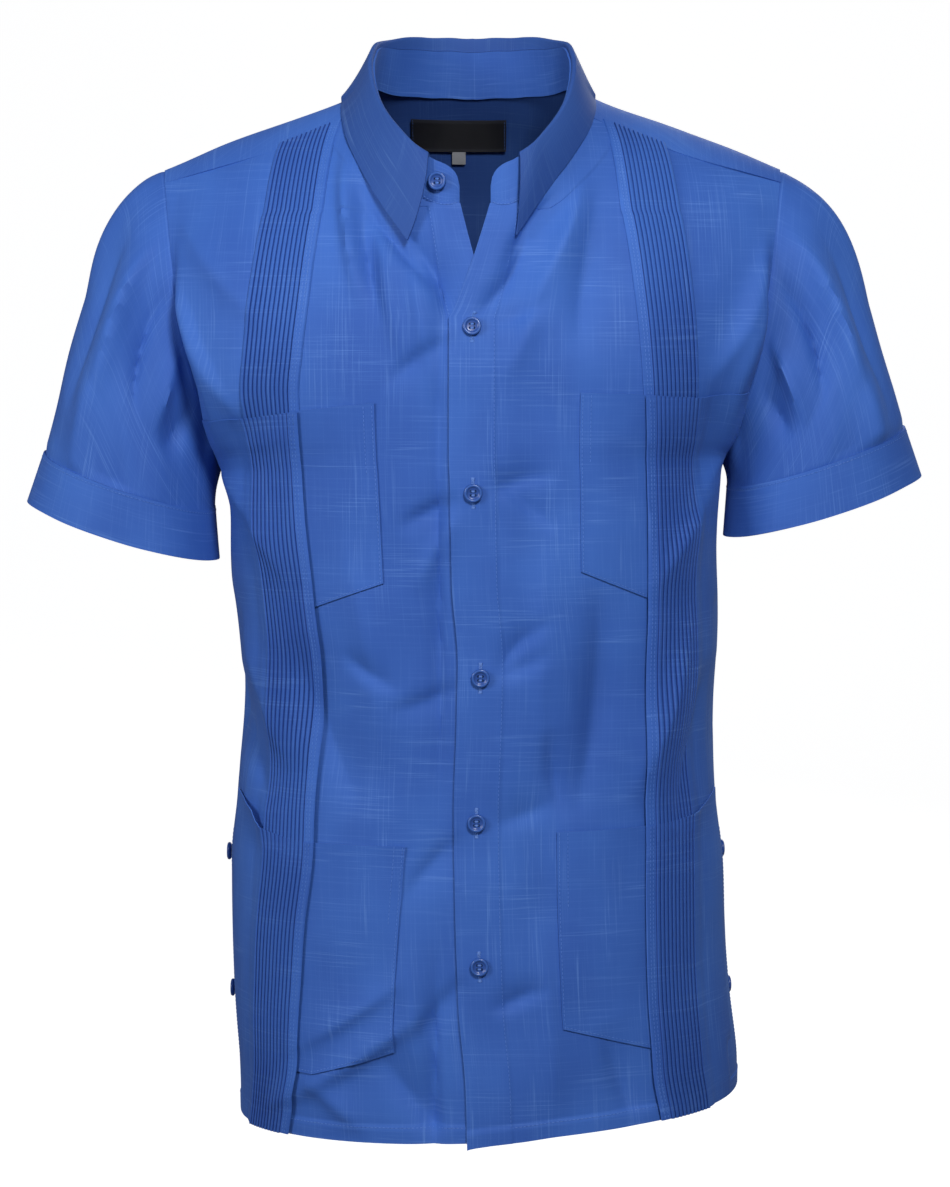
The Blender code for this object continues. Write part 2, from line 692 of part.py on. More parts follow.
def armhole_half(facing):
    """The armhole's edge from the top of the shoulder to the armpit, evenly spaced."""
    top = float(from_table(RIDGE, "height", ARMHOLE[-1].front_x))
    share = np.linspace(0, 1, 200) ** 2
    heights = between(top, ARMPIT_HEIGHT, share)
    column = "front_x" if facing < 0 else "back_x"
    x = from_table(ARMHOLE, column, heights)
    x = np.minimum(x, from_table(TORSO, "half_width", heights))
    places = np.stack([x, form_y(x, heights, facing), heights], axis=-1)
    along = np.concatenate([[0], np.cumsum(np.linalg.norm(np.diff(places, axis=0), axis=1))])
    return places, along / along[-1]


ARMHOLE_HALVES = {facing: armhole_half(facing) for facing in (-1, 1)}


def armhole_place(round_share):
    """A place on the left armhole. 0 is the top, 0.25 the front, 0.5 the armpit."""
    facing = -1 if round_share <= 0.5 else 1
    places, along = ARMHOLE_HALVES[facing]
    share = 2 * round_share if facing < 0 else 2 * (1 - round_share)
    return np.array([np.interp(share, along, places[:, k]) for k in range(3)])


def flow(table, round_share):
    """The direction and strength of the cloth's flow, from the top of the arm to underneath."""
    under = (1 - math.cos(2 * math.pi * round_share)) / 2
    top, low = table["top"], table["underarm"]
    outward, down = between(top.outward, low.outward, under), between(top.down, low.down, under)
    direction = np.array([outward, 0, down])
    return direction / np.linalg.norm(direction), between(top.reach, low.reach, under)


def cuff_place(side, round_share, up):
    """A place on a cuff, up metres above its lower edge, on the wearer's left."""
    row = SLEEVE[side]
    turn = 2 * math.pi * round_share
    across = np.array([math.cos(CUFF_SLANT), 0, math.sin(CUFF_SLANT)])
    centre = np.array([row.cuff_x, row.cuff_y, row.cuff_height])
    edge = centre + across * row.half_across * math.cos(turn)
    edge = edge - np.array([0, row.half_depth, CUFF_FRONT_DROP]) * math.sin(turn)
    direction, _ = flow(ENTERS_CUFF, round_share)
    return edge - direction * up


def sleeve_place(side, round_share, down):
    """A place on a sleeve, down 0 at the armhole and 1 at the cuff, on the wearer's left."""
    start = armhole_place(round_share)
    leave, leave_reach = flow(LEAVES_ARMHOLE, round_share)
    under = (1 - math.cos(2 * math.pi * round_share)) / 2
    start = start + leave * ARMHOLE_GAP + np.array([ARMPIT_CLEARANCE * under, 0, 0])
    end = cuff_place(side, round_share, CUFF_WIDTH + SEAM_GAP)
    enter, enter_reach = flow(ENTERS_CUFF, round_share)
    t = down
    return (
        start * (1 + 2 * t) * (1 - t) ** 2
        + end * t * t * (3 - 2 * t)
        + leave * leave_reach * t * (1 - t) ** 2
        - enter * enter_reach * t * t * (1 - t)
    )


def sleeve(side):
    """A sleeve and its cuff, as two rings of cloth."""
    mirror = np.array([SIDE_SIGN[side], 1, 1])
    rounds = np.linspace(0, 1, 25)
    downs = (1, 0.84, 0.68, 0.52, 0.37, 0.23, 0.11, 0)
    tube = np.array([[sleeve_place(side, r, d) * mirror for r in rounds] for d in downs])
    ups = (0, CUFF_WIDTH / 2, CUFF_WIDTH)
    band = np.array([[cuff_place(side, r, u) * mirror for r in rounds] for u in ups])
    flip = side == "left"
    cloth(f"sleeve_{side}", tube, WALL, flip=flip, closed=True)
    cloth(f"cuff_{side}", band, DOUBLE_WALL, flip=flip, closed=True)


# ---------------------------------------------------------------- collar


def neck_stops():
    """The turns, in degrees, at which the fronts and the yoke have points on the neckline."""
    front = [neck_turn_of(up) for up in UPPER_STOPS if up >= NECK_STOP]
    yoke_turns = [YOKE_SEAM_TURN * share for share in NECK_STOPS[1:]]
    return np.degrees(front + yoke_turns)


def neck_stop_place(side, turn):
    """A point of the open neckline, at one of its stops."""
    x, y, height = neck_point(turn)
    flat = math.copysign(FRONT.flat_at(abs(x), height), x) if turn > math.pi / 2 else 0.2
    x += float(opened(side, flat, height))
    lift = FRONT_LIFT[side] * (1 - eased((flat - OVERLAP - 0.003) / 0.030))
    return np.array([SIDE_SIGN[side] * x, y - lift, height])


def neck_place(turn_degrees):
    """A place on the open neckline's own facets. Turns below 0 are on the wearer's right."""
    side = "right" if turn_degrees < 0 else "left"
    if side not in neck_places:
        neck_places[side] = np.array([neck_stop_place(side, math.radians(t)) for t in neck_stops()])
    stops, places = neck_stops()[::-1], neck_places[side][::-1]
    return np.array([np.interp(abs(turn_degrees), stops, places[:, k]) for k in range(3)])


neck_places = {}


def stand_place(turn_degrees, share):
    """A place on the stand, share 0 at the neckline and 1 at its top edge."""
    turn = abs(turn_degrees)
    height = float(from_table(STAND, "height", turn))
    lean = float(from_table(STAND, "lean", turn))
    end = math.degrees(NECK_FRONT_TURN)
    rounded = math.degrees(STAND_END_RADIUS)
    near = np.clip((turn - end + rounded) / rounded, 0, 1)
    top = height * (1 - 0.75 * (1 - math.sqrt(1 - near * near)))
    base = neck_place(turn_degrees)
    bearing = math.radians(turn_degrees)
    inward = -np.array([math.sin(bearing), math.cos(bearing), 0])
    return base + inward * lean * share + np.array([0, 0, WALL + SEAM_GAP + top * share])


def stand():
    """The collar stand, from one front edge round the neck to the other."""
    end = math.degrees(NECK_FRONT_TURN) - 0.2
    near = np.array([end, end - 2, end - 7, end - 14, LEAF_TURN, *neck_stops()[1:-1]])
    turns = np.concatenate([-near, [0], near[::-1]])
    shares = (0, 0.5, 1)
    places = np.array([[stand_place(turn, share) for turn in turns] for share in shares])
    cloth("collar_stand", places, WALL, flip=False)


def leaf_edge(turn_degrees):
    """A place on the leaf's lower edge."""
    side = "right" if turn_degrees < 0 else "left"
    turn = abs(turn_degrees)
    x = float(from_table(LEAF_EDGE, f"{side}_x", turn))
    height = float(from_table(LEAF_EDGE, f"{side}_height", turn))
    y = float(from_table(LEAF_EDGE, "y", turn))
    chest = float(form_y(x, height, -1)) - WALL - LEAF_CLEARANCE
    y = between(y, chest, float(eased((turn - 80) / 30)))
    return np.array([x * SIDE_SIGN[side], y, height])


def leaf_place(turn_degrees, share):
    """A place on the leaf: share -1 at the stand, 0 at the fold and 1 at the lower edge."""
    top = stand_place(turn_degrees, 1) + np.array([0, 0, SEAM_GAP])
    turn = math.radians(turn_degrees)
    outward = np.array([math.sin(turn), math.cos(turn), 0])
    fold = top + np.array([0, 0, float(from_table(STAND, "leaf_rise", abs(turn_degrees)))])
    if share <= 0:
        return between(fold, top, -share)
    edge = leaf_edge(turn_degrees)
    start = fold + outward * 0.0034 - np.array([0, 0, 0.0008])
    bulge = outward * LEAF_BULGE * math.sin(math.pi * share)
    return between(start, edge, (share - 0.04) / 0.96) + bulge


def leaf():
    """The collar leaf, folded over the stand, with its two points."""
    near = np.array([LEAF_TURN, *neck_stops()[2:-1]])
    near = np.sort(np.append(near, [(near[0] + near[1]) / 2, 104]))[::-1]
    turns = np.concatenate([-near, [0], near[::-1]])
    shares = (1, 0.72, 0.45, 0.20, 0.04, 0, -1)
    places = np.array([[leaf_place(turn, share) for turn in turns] for share in shares])
    cloth("collar_leaf", places, DOUBLE_WALL * 0.8, flip=False)


# ---------------------------------------------------------------- buttons and labels


def button(name, centre, facing):
    """A turned four-hole button lying on the cloth, its back at centre, facing outwards."""
    thick, radius = BUTTON_THICKNESS, BUTTON_RADIUS
    profile = (
        (0, thick * 0.62), (radius * 0.55, thick * 0.66), (radius * 0.74, thick),
        (radius * 0.92, thick * 0.92), (radius, thick * 0.50), (radius * 0.80, 0), (0, 0),
    )  # fmt: skip
    bm = bmesh.new()
    verts = [bm.verts.new((r, 0, h)) for r, h in profile]
    edges = [bm.edges.new(pair) for pair in zip(verts, verts[1:])]
    bmesh.ops.spin(
        bm, geom=verts + edges, cent=(0, 0, 0), axis=(0, 0, 1), angle=2 * math.pi, steps=14,
        use_merge=True,
    )  # fmt: skip
    bmesh.ops.remove_doubles(bm, verts=bm.verts, dist=1e-6)
    bmesh.ops.recalc_face_normals(bm, faces=bm.faces)
    body = new_object(name, bm, material("button", DARK_BLUE, 0.25))
    turned = Vector(facing).to_track_quat("Z", "Y").to_matrix().to_4x4()
    body.matrix_world = Matrix.Translation(Vector(centre)) @ turned
    holes = bmesh.new()
    half = BUTTON_HOLE_SPACING / 2
    for x, y in ((-half, -half), (half, -half), (-half, half), (half, half)):
        bmesh.ops.create_cone(
            holes, cap_ends=True, segments=6, radius1=BUTTON_HOLE_RADIUS,
            radius2=BUTTON_HOLE_RADIUS, depth=4 * thick, matrix=Matrix.Translation((x, y, 0)),
        )  # fmt: skip
    mesh = bpy.data.meshes.new(f"{name}_holes")
    holes.to_mesh(mesh)
    holes.free()
    cutter = bpy.data.objects.new(f"{name}_holes", mesh)
    bpy.data.collections["cutters"].objects.link(cutter)
    cutter.matrix_world = body.matrix_world
    cutter.hide_render = True
    cutter.display_type = "WIRE"
    cut = body.modifiers.new("holes", "BOOLEAN")
    cut.operation = "DIFFERENCE"
    cut.object = cutter


def front_buttons(panel):
    """The five buttons down the centre front."""
    for number, height in enumerate(FRONT_BUTTONS, 1):
        centre = across_of("left", 0.0, up_of(height))
        inner, outer = panel.at(centre, up_of(height), np.array([WALL + LAYER_GAP, 1.0]))
        button(f"front_button_{number}", inner, outer - inner)


def collar_button():
    """The undone button on the right end of the stand."""
    low, high = stand_place(-COLLAR_BUTTON_TURN, 0.2), stand_place(-COLLAR_BUTTON_TURN, 0.9)
    before = stand_place(-COLLAR_BUTTON_TURN - 3, 0.5)
    after = stand_place(-COLLAR_BUTTON_TURN + 3, 0.5)
    facing = np.cross(after - before, high - low)
    facing = facing / np.linalg.norm(facing)
    facing = facing if facing[1] < 0 else -facing
    button("collar_button", between(low, high, 0.5) + facing * (WALL + LAYER_GAP), facing)


def vent_piece(side):
    """The underlap strip behind a side vent, and its two buttons."""
    sign = SIDE_SIGN[side]
    foot = HEM_HEIGHT + HEM_RISE[side][1] + 0.004
    levels = (foot, foot + 0.020, -0.655, -0.610, VENT_TOP)
    grid = []
    for height in levels:
        front_side, back_side = FRONT.side_at(height), BACK.side_at(height)
        row = [FRONT.points(sign * (front_side - step), height) for step in (0.016, 0.008)]
        row += [BACK.points(sign * (back_side - step), height) for step in (0.002, 0.010)]
        middle = np.array([from_table(TORSO, "centre_x", height), 0, height])
        grid.append([middle + (p - middle) * np.array([0.983, 0.983, 1]) for p in row])
    cloth(f"vent_strip_{side}", np.array(grid), WALL * 0.8, flip=side == "right")
    for number, height in enumerate(VENT_BUTTONS, 1):
        flat = sign * (BACK.side_at(height) - VENT_BUTTON_SETBACK[side])
        back, front, centre = BACK.points([flat - 0.005, flat + 0.005, flat], height)
        facing = Vector(np.cross(front - back, (0, 0, -sign))).normalized() * sign
        facing = facing if facing.x * sign > 0 else -facing
        place = Vector(centre) + facing * (WALL + 3 * LAYER_GAP)
        button(f"vent_button_{side}_{number}", place, facing)


def tag(name, width, height, top, centre_x, lift, finish):
    """A small woven label on the inside of the yoke."""
    xs = np.linspace(-width / 2, width / 2, 7) + centre_x
    heights = np.array([top - height, top - height / 2, top])
    grid = []
    for level in heights:
        turn = ridge_turn(xs, np.full(len(xs), level), 1)
        grid.append(ridge_point(xs, turn) - np.array([0, lift, 0]))
    cloth(name, np.array(grid), LABEL_THICKNESS, finish=finish, flip=False)


def build():
    for obj in list(bpy.data.objects):
        bpy.data.objects.remove(obj)
    for name in ("guayabera_shirt", "cutters"):
        bpy.context.scene.collection.children.link(bpy.data.collections.new(name))
    bpy.data.collections["cutters"].hide_render = True
    for side in SIDE_SIGN:
        panel = front_panel(side)
        tuck_band(side, panel)
        for row in POCKETS:
            pocket(side, panel, row)
        sleeve(side)
        vent_piece(side)
        if side == "left":
            front_buttons(panel)
    back_panel()
    yoke()
    stand()
    leaf()
    collar_button()
    tag("label", *LABEL_SIZE, LABEL_TOP, LABEL_X, 0.0015, material("label", BLACK, 0.6))
    below = LABEL_TOP - LABEL_SIZE[1] - 0.0006
    tag("size_tab", *SIZE_TAB, below, LABEL_X, 0.0015, material("tab", GREY, 0.7))


build()
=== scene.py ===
# %% [markdown]
# # A guayabera shirt, filled out as if worn
#
# The shirt is royal blue, short-sleeved and boxy, with a band of fine tucks down each side of
# the front, four patch pockets over the tucks, and a pointed collar worn open. This lesson lays
# thin cloth on one shared form, piece by piece, the way a dressmaker builds on a stand. It
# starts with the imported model, which gives the space that every piece has to fill.

import math
from collections import namedtuple

import bmesh
import bpy
import numpy as np
from mathutils import Matrix, Vector


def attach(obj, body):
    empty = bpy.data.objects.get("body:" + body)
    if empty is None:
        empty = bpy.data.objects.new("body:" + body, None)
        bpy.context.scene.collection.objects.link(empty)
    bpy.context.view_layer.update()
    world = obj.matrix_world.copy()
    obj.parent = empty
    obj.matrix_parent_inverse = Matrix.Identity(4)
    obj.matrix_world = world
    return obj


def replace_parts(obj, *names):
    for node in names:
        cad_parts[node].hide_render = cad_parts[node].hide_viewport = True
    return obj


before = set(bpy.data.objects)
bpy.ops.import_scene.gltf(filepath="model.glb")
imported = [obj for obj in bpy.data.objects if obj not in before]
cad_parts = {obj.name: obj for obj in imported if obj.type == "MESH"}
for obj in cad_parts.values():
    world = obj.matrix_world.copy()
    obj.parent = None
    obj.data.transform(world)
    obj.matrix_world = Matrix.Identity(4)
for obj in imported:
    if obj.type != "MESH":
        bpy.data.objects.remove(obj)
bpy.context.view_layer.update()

# %% [markdown]
# ## Where the viewer stands
#
# The shirt is seen from the front, from a little over two metres away, with the eye level with
# the upper chest and looking slightly down. A long lens keeps the sleeves from spreading.

# %% Camera
EYE = Vector((0.002, -2.1, -0.187))
LOOK_DOWN = math.radians(4.5)
FOCAL_LENGTH = 88.5

scene = bpy.context.scene
camera = bpy.data.objects.new("camera", bpy.data.cameras.new("camera"))
scene.collection.objects.link(camera)
camera.data.sensor_width = 36
camera.data.lens = FOCAL_LENGTH
camera.location = EYE
camera.rotation_euler = (math.radians(90) - LOOK_DOWN, 0, 0)
scene.camera = camera
print("camera", tuple(round(v, 3) for v in camera.location), camera.data.lens, "mm")

# %% [markdown]
# ## Light and floor
#
# Folds show only where light crosses them. The key lamp stands above and a little to the
# right, which keeps a dark line at the lapped edge of the centre front. A weaker one on the
# left opens the far sides of the folds, one behind shows the back, and a plain pale world
# lifts what no lamp reaches. The floor is pale and sweeps up behind the shirt, so there is no
# horizon when it is seen from the front.

# %% World and lamps
LampRow = namedtuple("LampRow", "name place size watts")
LAMPS = (
    LampRow("key", (0.42, -1.65, 0.85), 0.40, 29),
    LampRow("fill", (-1.50, -1.35, 0.25), 0.70, 17),
    LampRow("back", (0.70, 1.90, 0.80), 1.00, 12),
)
AIM = Vector((0, 0, -0.25))

world = bpy.data.worlds.new("studio")
world.use_nodes = True
world.node_tree.nodes["Background"].inputs["Color"].default_value = (0.96, 0.97, 1.0, 1)
world.node_tree.nodes["Background"].inputs["Strength"].default_value = 0.19
scene.world = world
for row in LAMPS:
    light = bpy.data.lights.new(row.name, "AREA")
    light.size, light.energy = row.size, row.watts
    lamp = bpy.data.objects.new(row.name, light)
    lamp.location = row.place
    lamp.rotation_euler = (AIM - lamp.location).to_track_quat("-Z", "Y").to_euler()
    scene.collection.objects.link(lamp)
scene.view_settings.view_transform = "Standard"
print("lamps", [row.name for row in LAMPS])

# %% [markdown]
# ## Shader maths
#
# A finish is a small sum of patterns, such as yarns, clouds and ribs. Written node by node it
# is hard to follow, so this class wraps a socket and lets patterns be added and multiplied
# like numbers. Each expression adds its Math nodes, and colours go through Mix, because a Math
# node would turn them grey.

# %% Shader helper
class Socket:
    """An output socket of a material, with arithmetic that adds Math nodes."""

    def __init__(self, paint, socket):
        self.paint, self.socket = paint, socket

    def math(self, operation, *others):
        return self.paint.node("ShaderNodeMath", [self, *others], operation=operation)

    def __add__(self, other):
        return self.math("ADD", other)

    def __mul__(self, other):
        return self.math("MULTIPLY", other)

    def __sub__(self, other):
        return self.math("SUBTRACT", other)

    def __rsub__(self, other):
        return self.paint.node("ShaderNodeMath", [other, self], operation="SUBTRACT")

    def __truediv__(self, other):
        return self.math("DIVIDE", other)

    def __pow__(self, other):
        return self.math("POWER", other)

    __radd__ = __add__
    __rmul__ = __mul__

    def over(self, low, high):
        """0 below low, 1 above high, eased between."""
        return self.paint.node(
            "ShaderNodeMapRange", [self, low, high, 0, 1], interpolation_type="SMOOTHSTEP"
        )


class Paint:
    """A material under construction. Other nodes are added with node()."""

    def __init__(self, name):
        self.material = bpy.data.materials.new(name)
        self.material.use_nodes = True
        self.tree = self.material.node_tree
        self.shader = self.tree.nodes["Principled BSDF"]

    def node(self, kind, inputs=(), output=0, **settings):
        made = self.tree.nodes.new(kind)
        stops = settings.pop("stops", None)
        for key, value in settings.items():
            setattr(made, key, value)
        if stops:
            ramp = made.color_ramp.elements
            while len(ramp) < len(stops):
                ramp.new(0.5)
            for element, (place, colour) in zip(ramp, stops):
                element.position, element.color = place, (*colour, 1)
        pairs = inputs.items() if isinstance(inputs, dict) else enumerate(inputs)
        for key, value in pairs:
            if isinstance(value, Socket):
                self.tree.links.new(value.socket, made.inputs[key])
            else:
                made.inputs[key].default_value = value
        return Socket(self, made.outputs[output])

    def flat(self):
        """The piece's own UV, which is its place on the cut cloth in metres."""
        uv = self.node("ShaderNodeUVMap", uv_map="flat")
        return (
            self.node("ShaderNodeSeparateXYZ", [uv], output="X"),
            self.node("ShaderNodeSeparateXYZ", [uv], output="Y"),
        )

    def noise(self, x, y, scale_x, scale_y, detail=2.0, seed=0.0):
        place = self.node("ShaderNodeCombineXYZ", [x * scale_x, y * scale_y, seed])
        return self.node(
            "ShaderNodeTexNoise", {"Vector": place, "Scale": 1.0, "Detail": detail}, output=0
        )

    def mix(self, share, low, high, blend="MIX"):
        made = self.node(
            "ShaderNodeMix", {0: share, 6: low, 7: high},
            output=2, data_type="RGBA", blend_type=blend,
        )
        return made

    def link(self, name, value):
        self.tree.links.new(value.socket, self.shader.inputs[name])

    def set(self, **values):
        for name, value in values.items():
            self.shader.inputs[name.replace("_", " ")].default_value = value
        return self


floor_paint = Paint("pale_floor")
speckle = floor_paint.node("ShaderNodeTexNoise", {"Scale": 9.0, "Detail": 3.0})
PAPER = ((0.60, 0.60, 0.60, 1), (0.66, 0.66, 0.66, 1))
floor_paint.link("Base Color", floor_paint.mix(speckle, *PAPER))
floor_paint.set(Roughness=0.9, Emission_Color=(1, 1, 1, 1), Emission_Strength=0.80)
print("shader helper ready")

# %% [markdown]
# ## Floor
#
# A studio backdrop is one sheet of paper that runs forward on the floor and curves up behind,
# so no edge shows where the two meet. Here a grid is bent the same way. It is seen, but it is
# kept from lighting the cloth, because its glow from below and behind flattens every fold.

# %% Floor
FLOOR_HEIGHT = -1.05
SWEEP = (2.2, 1.6)  # how far back the floor runs and the radius of its curve

bm = bmesh.new()
bmesh.ops.create_grid(bm, x_segments=2, y_segments=40, size=1)
for vert in bm.verts:
    along = (vert.co.y + 1) / 2 * 12.0 - 4.0
    bend = min(max(along - SWEEP[0], 0) / SWEEP[1], math.pi / 2)
    rise = max(along - SWEEP[0] - SWEEP[1] * math.pi / 2, 0)
    y = min(along, SWEEP[0]) + SWEEP[1] * math.sin(bend)
    vert.co = (vert.co.x * 7, y, FLOOR_HEIGHT + SWEEP[1] * (1 - math.cos(bend)) + rise * 2)
mesh = bpy.data.meshes.new("floor")
bm.to_mesh(mesh)
bm.free()
mesh.shade_smooth()
mesh.materials.append(floor_paint.material)
floor = bpy.data.objects.new("floor", mesh)
scene.collection.objects.link(floor)
floor.visible_diffuse = floor.visible_glossy = False  # it is seen, but doesn't light the cloth
print("floor at", FLOOR_HEIGHT)

# %% [markdown]
# ## The cloth's finish
#
# The real cloth is a plain weave with slubs: uneven yarns that show as short, slightly lighter
# lines both ways, in loose bundles. Noises stretched along the width give the weft slubs, and
# others along the height the warp's. All read the flat pattern's metres, so the lines
# run with the grain of each piece round every fold. A fine ribbed bump carries the yarns
# themselves. In the tucks, the same finish gets darker in the gaps between the folds, because
# little light gets into a closed fold.

# %% Shirting
DEEP = (0.030, 0.098, 0.400, 1)
MIDDLE = (0.043, 0.135, 0.490, 1)
PALE = (0.100, 0.225, 0.600, 1)
# painted shade for the gaps between tucks
GAP_PAINTED_SHADE = (0.006, 0.020, 0.150, 1)
# The inner faces' UV is shifted this far, so the finish can paint shade on them.
INSIDE_SHIFT = 6.0  # moves inner faces to their own part of the roll, in metres


def slubs(paint, along, across, seed):
    """Thin light yarns: long along one way of the grain, a millimetre wide across it."""
    bundles = paint.noise(along, across, 9, 42, 2.0, seed).over(0.44, 0.66)
    yarns = paint.noise(along, across, 16, 820, 2.5, seed + 3.1).over(0.50, 0.74)
    strong = paint.noise(along, across, 22, 430, 1.0, seed + 7.7).over(0.63, 0.76)
    return yarns * (0.25 + bundles * 0.75) * 0.75 + strong * bundles * 0.55


def shirting(name, tucks=None, shade=1.0, inner=0.0):
    """The shirt's cloth.

    tucks is (first, pitch, last): where the gaps lie across the flat; the gaps get painted
    shade. shade below 1 paints shade over the whole piece. inner paints shade on the faces
    that mark_inside has shifted.
    """
    paint = Paint(name)
    x, y = paint.flat()
    weft, warp = slubs(paint, x, y, 0.0), slubs(paint, y, x, 20.0)
    streaks = weft * 0.62 + warp * 0.55
    clouds = paint.noise(x, y, 11, 7, 3.0, 41.0)
    base = paint.mix(clouds.over(0.30, 0.72), DEEP, MIDDLE)
    colour = paint.mix(streaks, base, PALE)
    # shade below 1 is painted shade: it mixes dark navy into the whole piece's colour
    if shade != 1.0:
        colour = paint.mix(1 - shade, colour, (0.004, 0.012, 0.060, 1))
    # inner is painted shade on the inner faces, for the dark inside of the shirt
    if inner:
        hidden = x.math("GREATER_THAN", INSIDE_SHIFT / 2)
        colour = paint.mix(hidden * inner, colour, (0.003, 0.008, 0.045, 1))
    ribs_x = (x * (2 * math.pi / 0.00062)).math("SINE")
    ribs_y = (y * (2 * math.pi / 0.00056)).math("SINE")
    height = streaks * 0.55 + ribs_x * ribs_y * 0.22 + paint.noise(x, y, 900, 900, 2.0, 9.0) * 0.4
    # painted shade in the gaps between tucks, where little light gets in
    if tucks:
        first, pitch, last = tucks
        turn = ((x - first) / pitch).math("FRACT")
        near = (turn - 0.5).math("ABSOLUTE") * 2
        inside = x.math("GREATER_THAN", first - pitch * 0.2) * x.math("LESS_THAN", last)
        colour = paint.mix(near.over(0.66, 0.92) * inside * 0.80, colour, GAP_PAINTED_SHADE)
    paint.link("Base Color", colour)
    paint.link("Roughness", 0.60 + clouds * 0.12 - streaks * 0.05)
    bump = paint.node("ShaderNodeBump", {"Strength": 0.42, "Distance": 0.00022, "Height": height})
    paint.link("Normal", bump)
    paint.set(Sheen_Weight=0.07, Sheen_Roughness=0.45, Sheen_Tint=(0.35, 0.55, 1.0, 1))
    return paint.set(Specular_IOR_Level=0.22).material


cloth_finish = shirting("slub_shirting")
# The collar leaf's finish carries painted shade, so it looks darker than the fronts'.
collar_finish_with_painted_shade = shirting("collar_shirting", shade=0.64)
# The back and the yoke carry painted shade on their inner faces.
back_finish_with_painted_shade = shirting("back_shirting", inner=0.90)
yoke_finish_with_painted_shade = shirting("yoke_shirting", inner=0.55)
print("finish", cloth_finish.name)

# %% [markdown]
# ## The form
#
# Cloth on a stand takes its shape from level sections of the body: narrow at the waist, wide at
# the hem, closed over at the shoulder along a ridge. The same tables and curves as the solids'
# are used here, only read on a much finer grid. A place on a panel is its distance round the
# body and its height, so tucks and pockets stay straight on the cloth.

# %% Sizes
HEM_HEIGHT = -0.726
VENT_TOP = -0.520
HEM_FADE = -0.660
HEM_RISE = {"right": (0.0075, 0.0), "left": (0.0, 0.022)}
HEM_BEND = {"right": 0.35, "left": 0.70}
ARMPIT_HEIGHT = -0.250
CHEST_HEIGHT = -0.200
YOKE_BACK_HEIGHT = -0.105
UPPER_START = -0.105
TOP_BUTTON_HEIGHT = -0.155
NECK_HEIGHT = -0.072
OVERLAP = 0.0155
BAND_WIDTH = 0.0430
STRIP_WIDTH = 0.0075
TUCKS = 11
SQUARENESS = 2.3
SHOULDER_ROUNDNESS = 1.7
RIDGE_Y = 0.005
WALL = 0.0009
NECK = namedtuple("Neck", "half_width half_length centre_y")(0.073, 0.083, -0.0185)
NECK_FRONT_TURN = math.pi + math.asin(OVERLAP / NECK.half_width)
YOKE_SEAM_TURN = math.radians(99)
YOKE_SEAM_DROP = 0.006
YOKE_ARMHOLE_HEIGHT = -0.058
NECK_STOP = 1.30
SIDE_SIGN = {"right": -1.0, "left": 1.0}
VENT_OPENING = {"right": 0.0060, "left": 0.0022}
OPEN_SPREAD = {"right": 0.0253, "left": 0.0297}
OPEN_REACH = 0.110
FRONT_LIFT = {"right": 0.0, "left": 0.0032}

TorsoRow = namedtuple("TorsoRow", "height half_width front_depth back_depth centre_x")
TORSO = (
    TorsoRow(-0.780, 0.1795, 0.128, 0.130, 0.0130),
    TorsoRow(-0.687, 0.1798, 0.126, 0.126, 0.0112),
    TorsoRow(-0.628, 0.1785, 0.123, 0.120, 0.0062),
    TorsoRow(-0.545, 0.1772, 0.121, 0.116, 0.0036),
    TorsoRow(-0.495, 0.1718, 0.120, 0.111, 0.0030),
    TorsoRow(-0.430, 0.1685, 0.121, 0.112, 0.0050),
    TorsoRow(-0.390, 0.1698, 0.122, 0.114, 0.0058),
    TorsoRow(-0.335, 0.1732, 0.124, 0.119, 0.0018),
    TorsoRow(-0.262, 0.1728, 0.126, 0.125, 0.0005),
    TorsoRow(-0.250, 0.1750, 0.126, 0.126, 0.0000),
    TorsoRow(-0.240, 0.1810, 0.126, 0.126, 0.0000),
    TorsoRow(-0.226, 0.1890, 0.126, 0.127, 0.0000),
    TorsoRow(-0.208, 0.1985, 0.126, 0.128, 0.0000),
    TorsoRow(-0.190, 0.2060, 0.126, 0.128, 0.0000),
    TorsoRow(-0.165, 0.2150, 0.126, 0.128, 0.0000),
    TorsoRow(-0.100, 0.2340, 0.126, 0.129, 0.0000),
    TorsoRow(0.060, 0.2500, 0.126, 0.130, 0.0000),
)
RidgeRow = namedtuple("RidgeRow", "x height")
RIDGE = (
    RidgeRow(0.000, 0.0500),
    RidgeRow(0.012, 0.0488),
    RidgeRow(0.036, 0.0360),
    RidgeRow(0.063, 0.0130),
    RidgeRow(0.078, 0.0045),
    RidgeRow(0.092, -0.0020),
    RidgeRow(0.150, -0.0225),
    RidgeRow(0.206, -0.0445),
    RidgeRow(0.260, -0.0660),
)
ArmholeRow = namedtuple("ArmholeRow", "height front_x back_x")
ARMHOLE = (
    ArmholeRow(-0.2500, 0.1750, 0.1750),
    ArmholeRow(-0.2400, 0.1790, 0.1795),
    ArmholeRow(-0.2260, 0.1855, 0.1865),
    ArmholeRow(-0.2080, 0.1915, 0.1930),
    ArmholeRow(-0.1900, 0.1965, 0.1985),
    ArmholeRow(-0.1650, 0.2020, 0.2045),
    ArmholeRow(-0.1300, 0.2075, 0.2100),
    ArmholeRow(-0.0900, 0.2130, 0.2145),
    ArmholeRow(-0.0580, 0.2180, 0.2185),
    ArmholeRow(-0.0510, 0.2200, 0.2200),
)
BandRow = namedtuple("BandRow", "height right left")
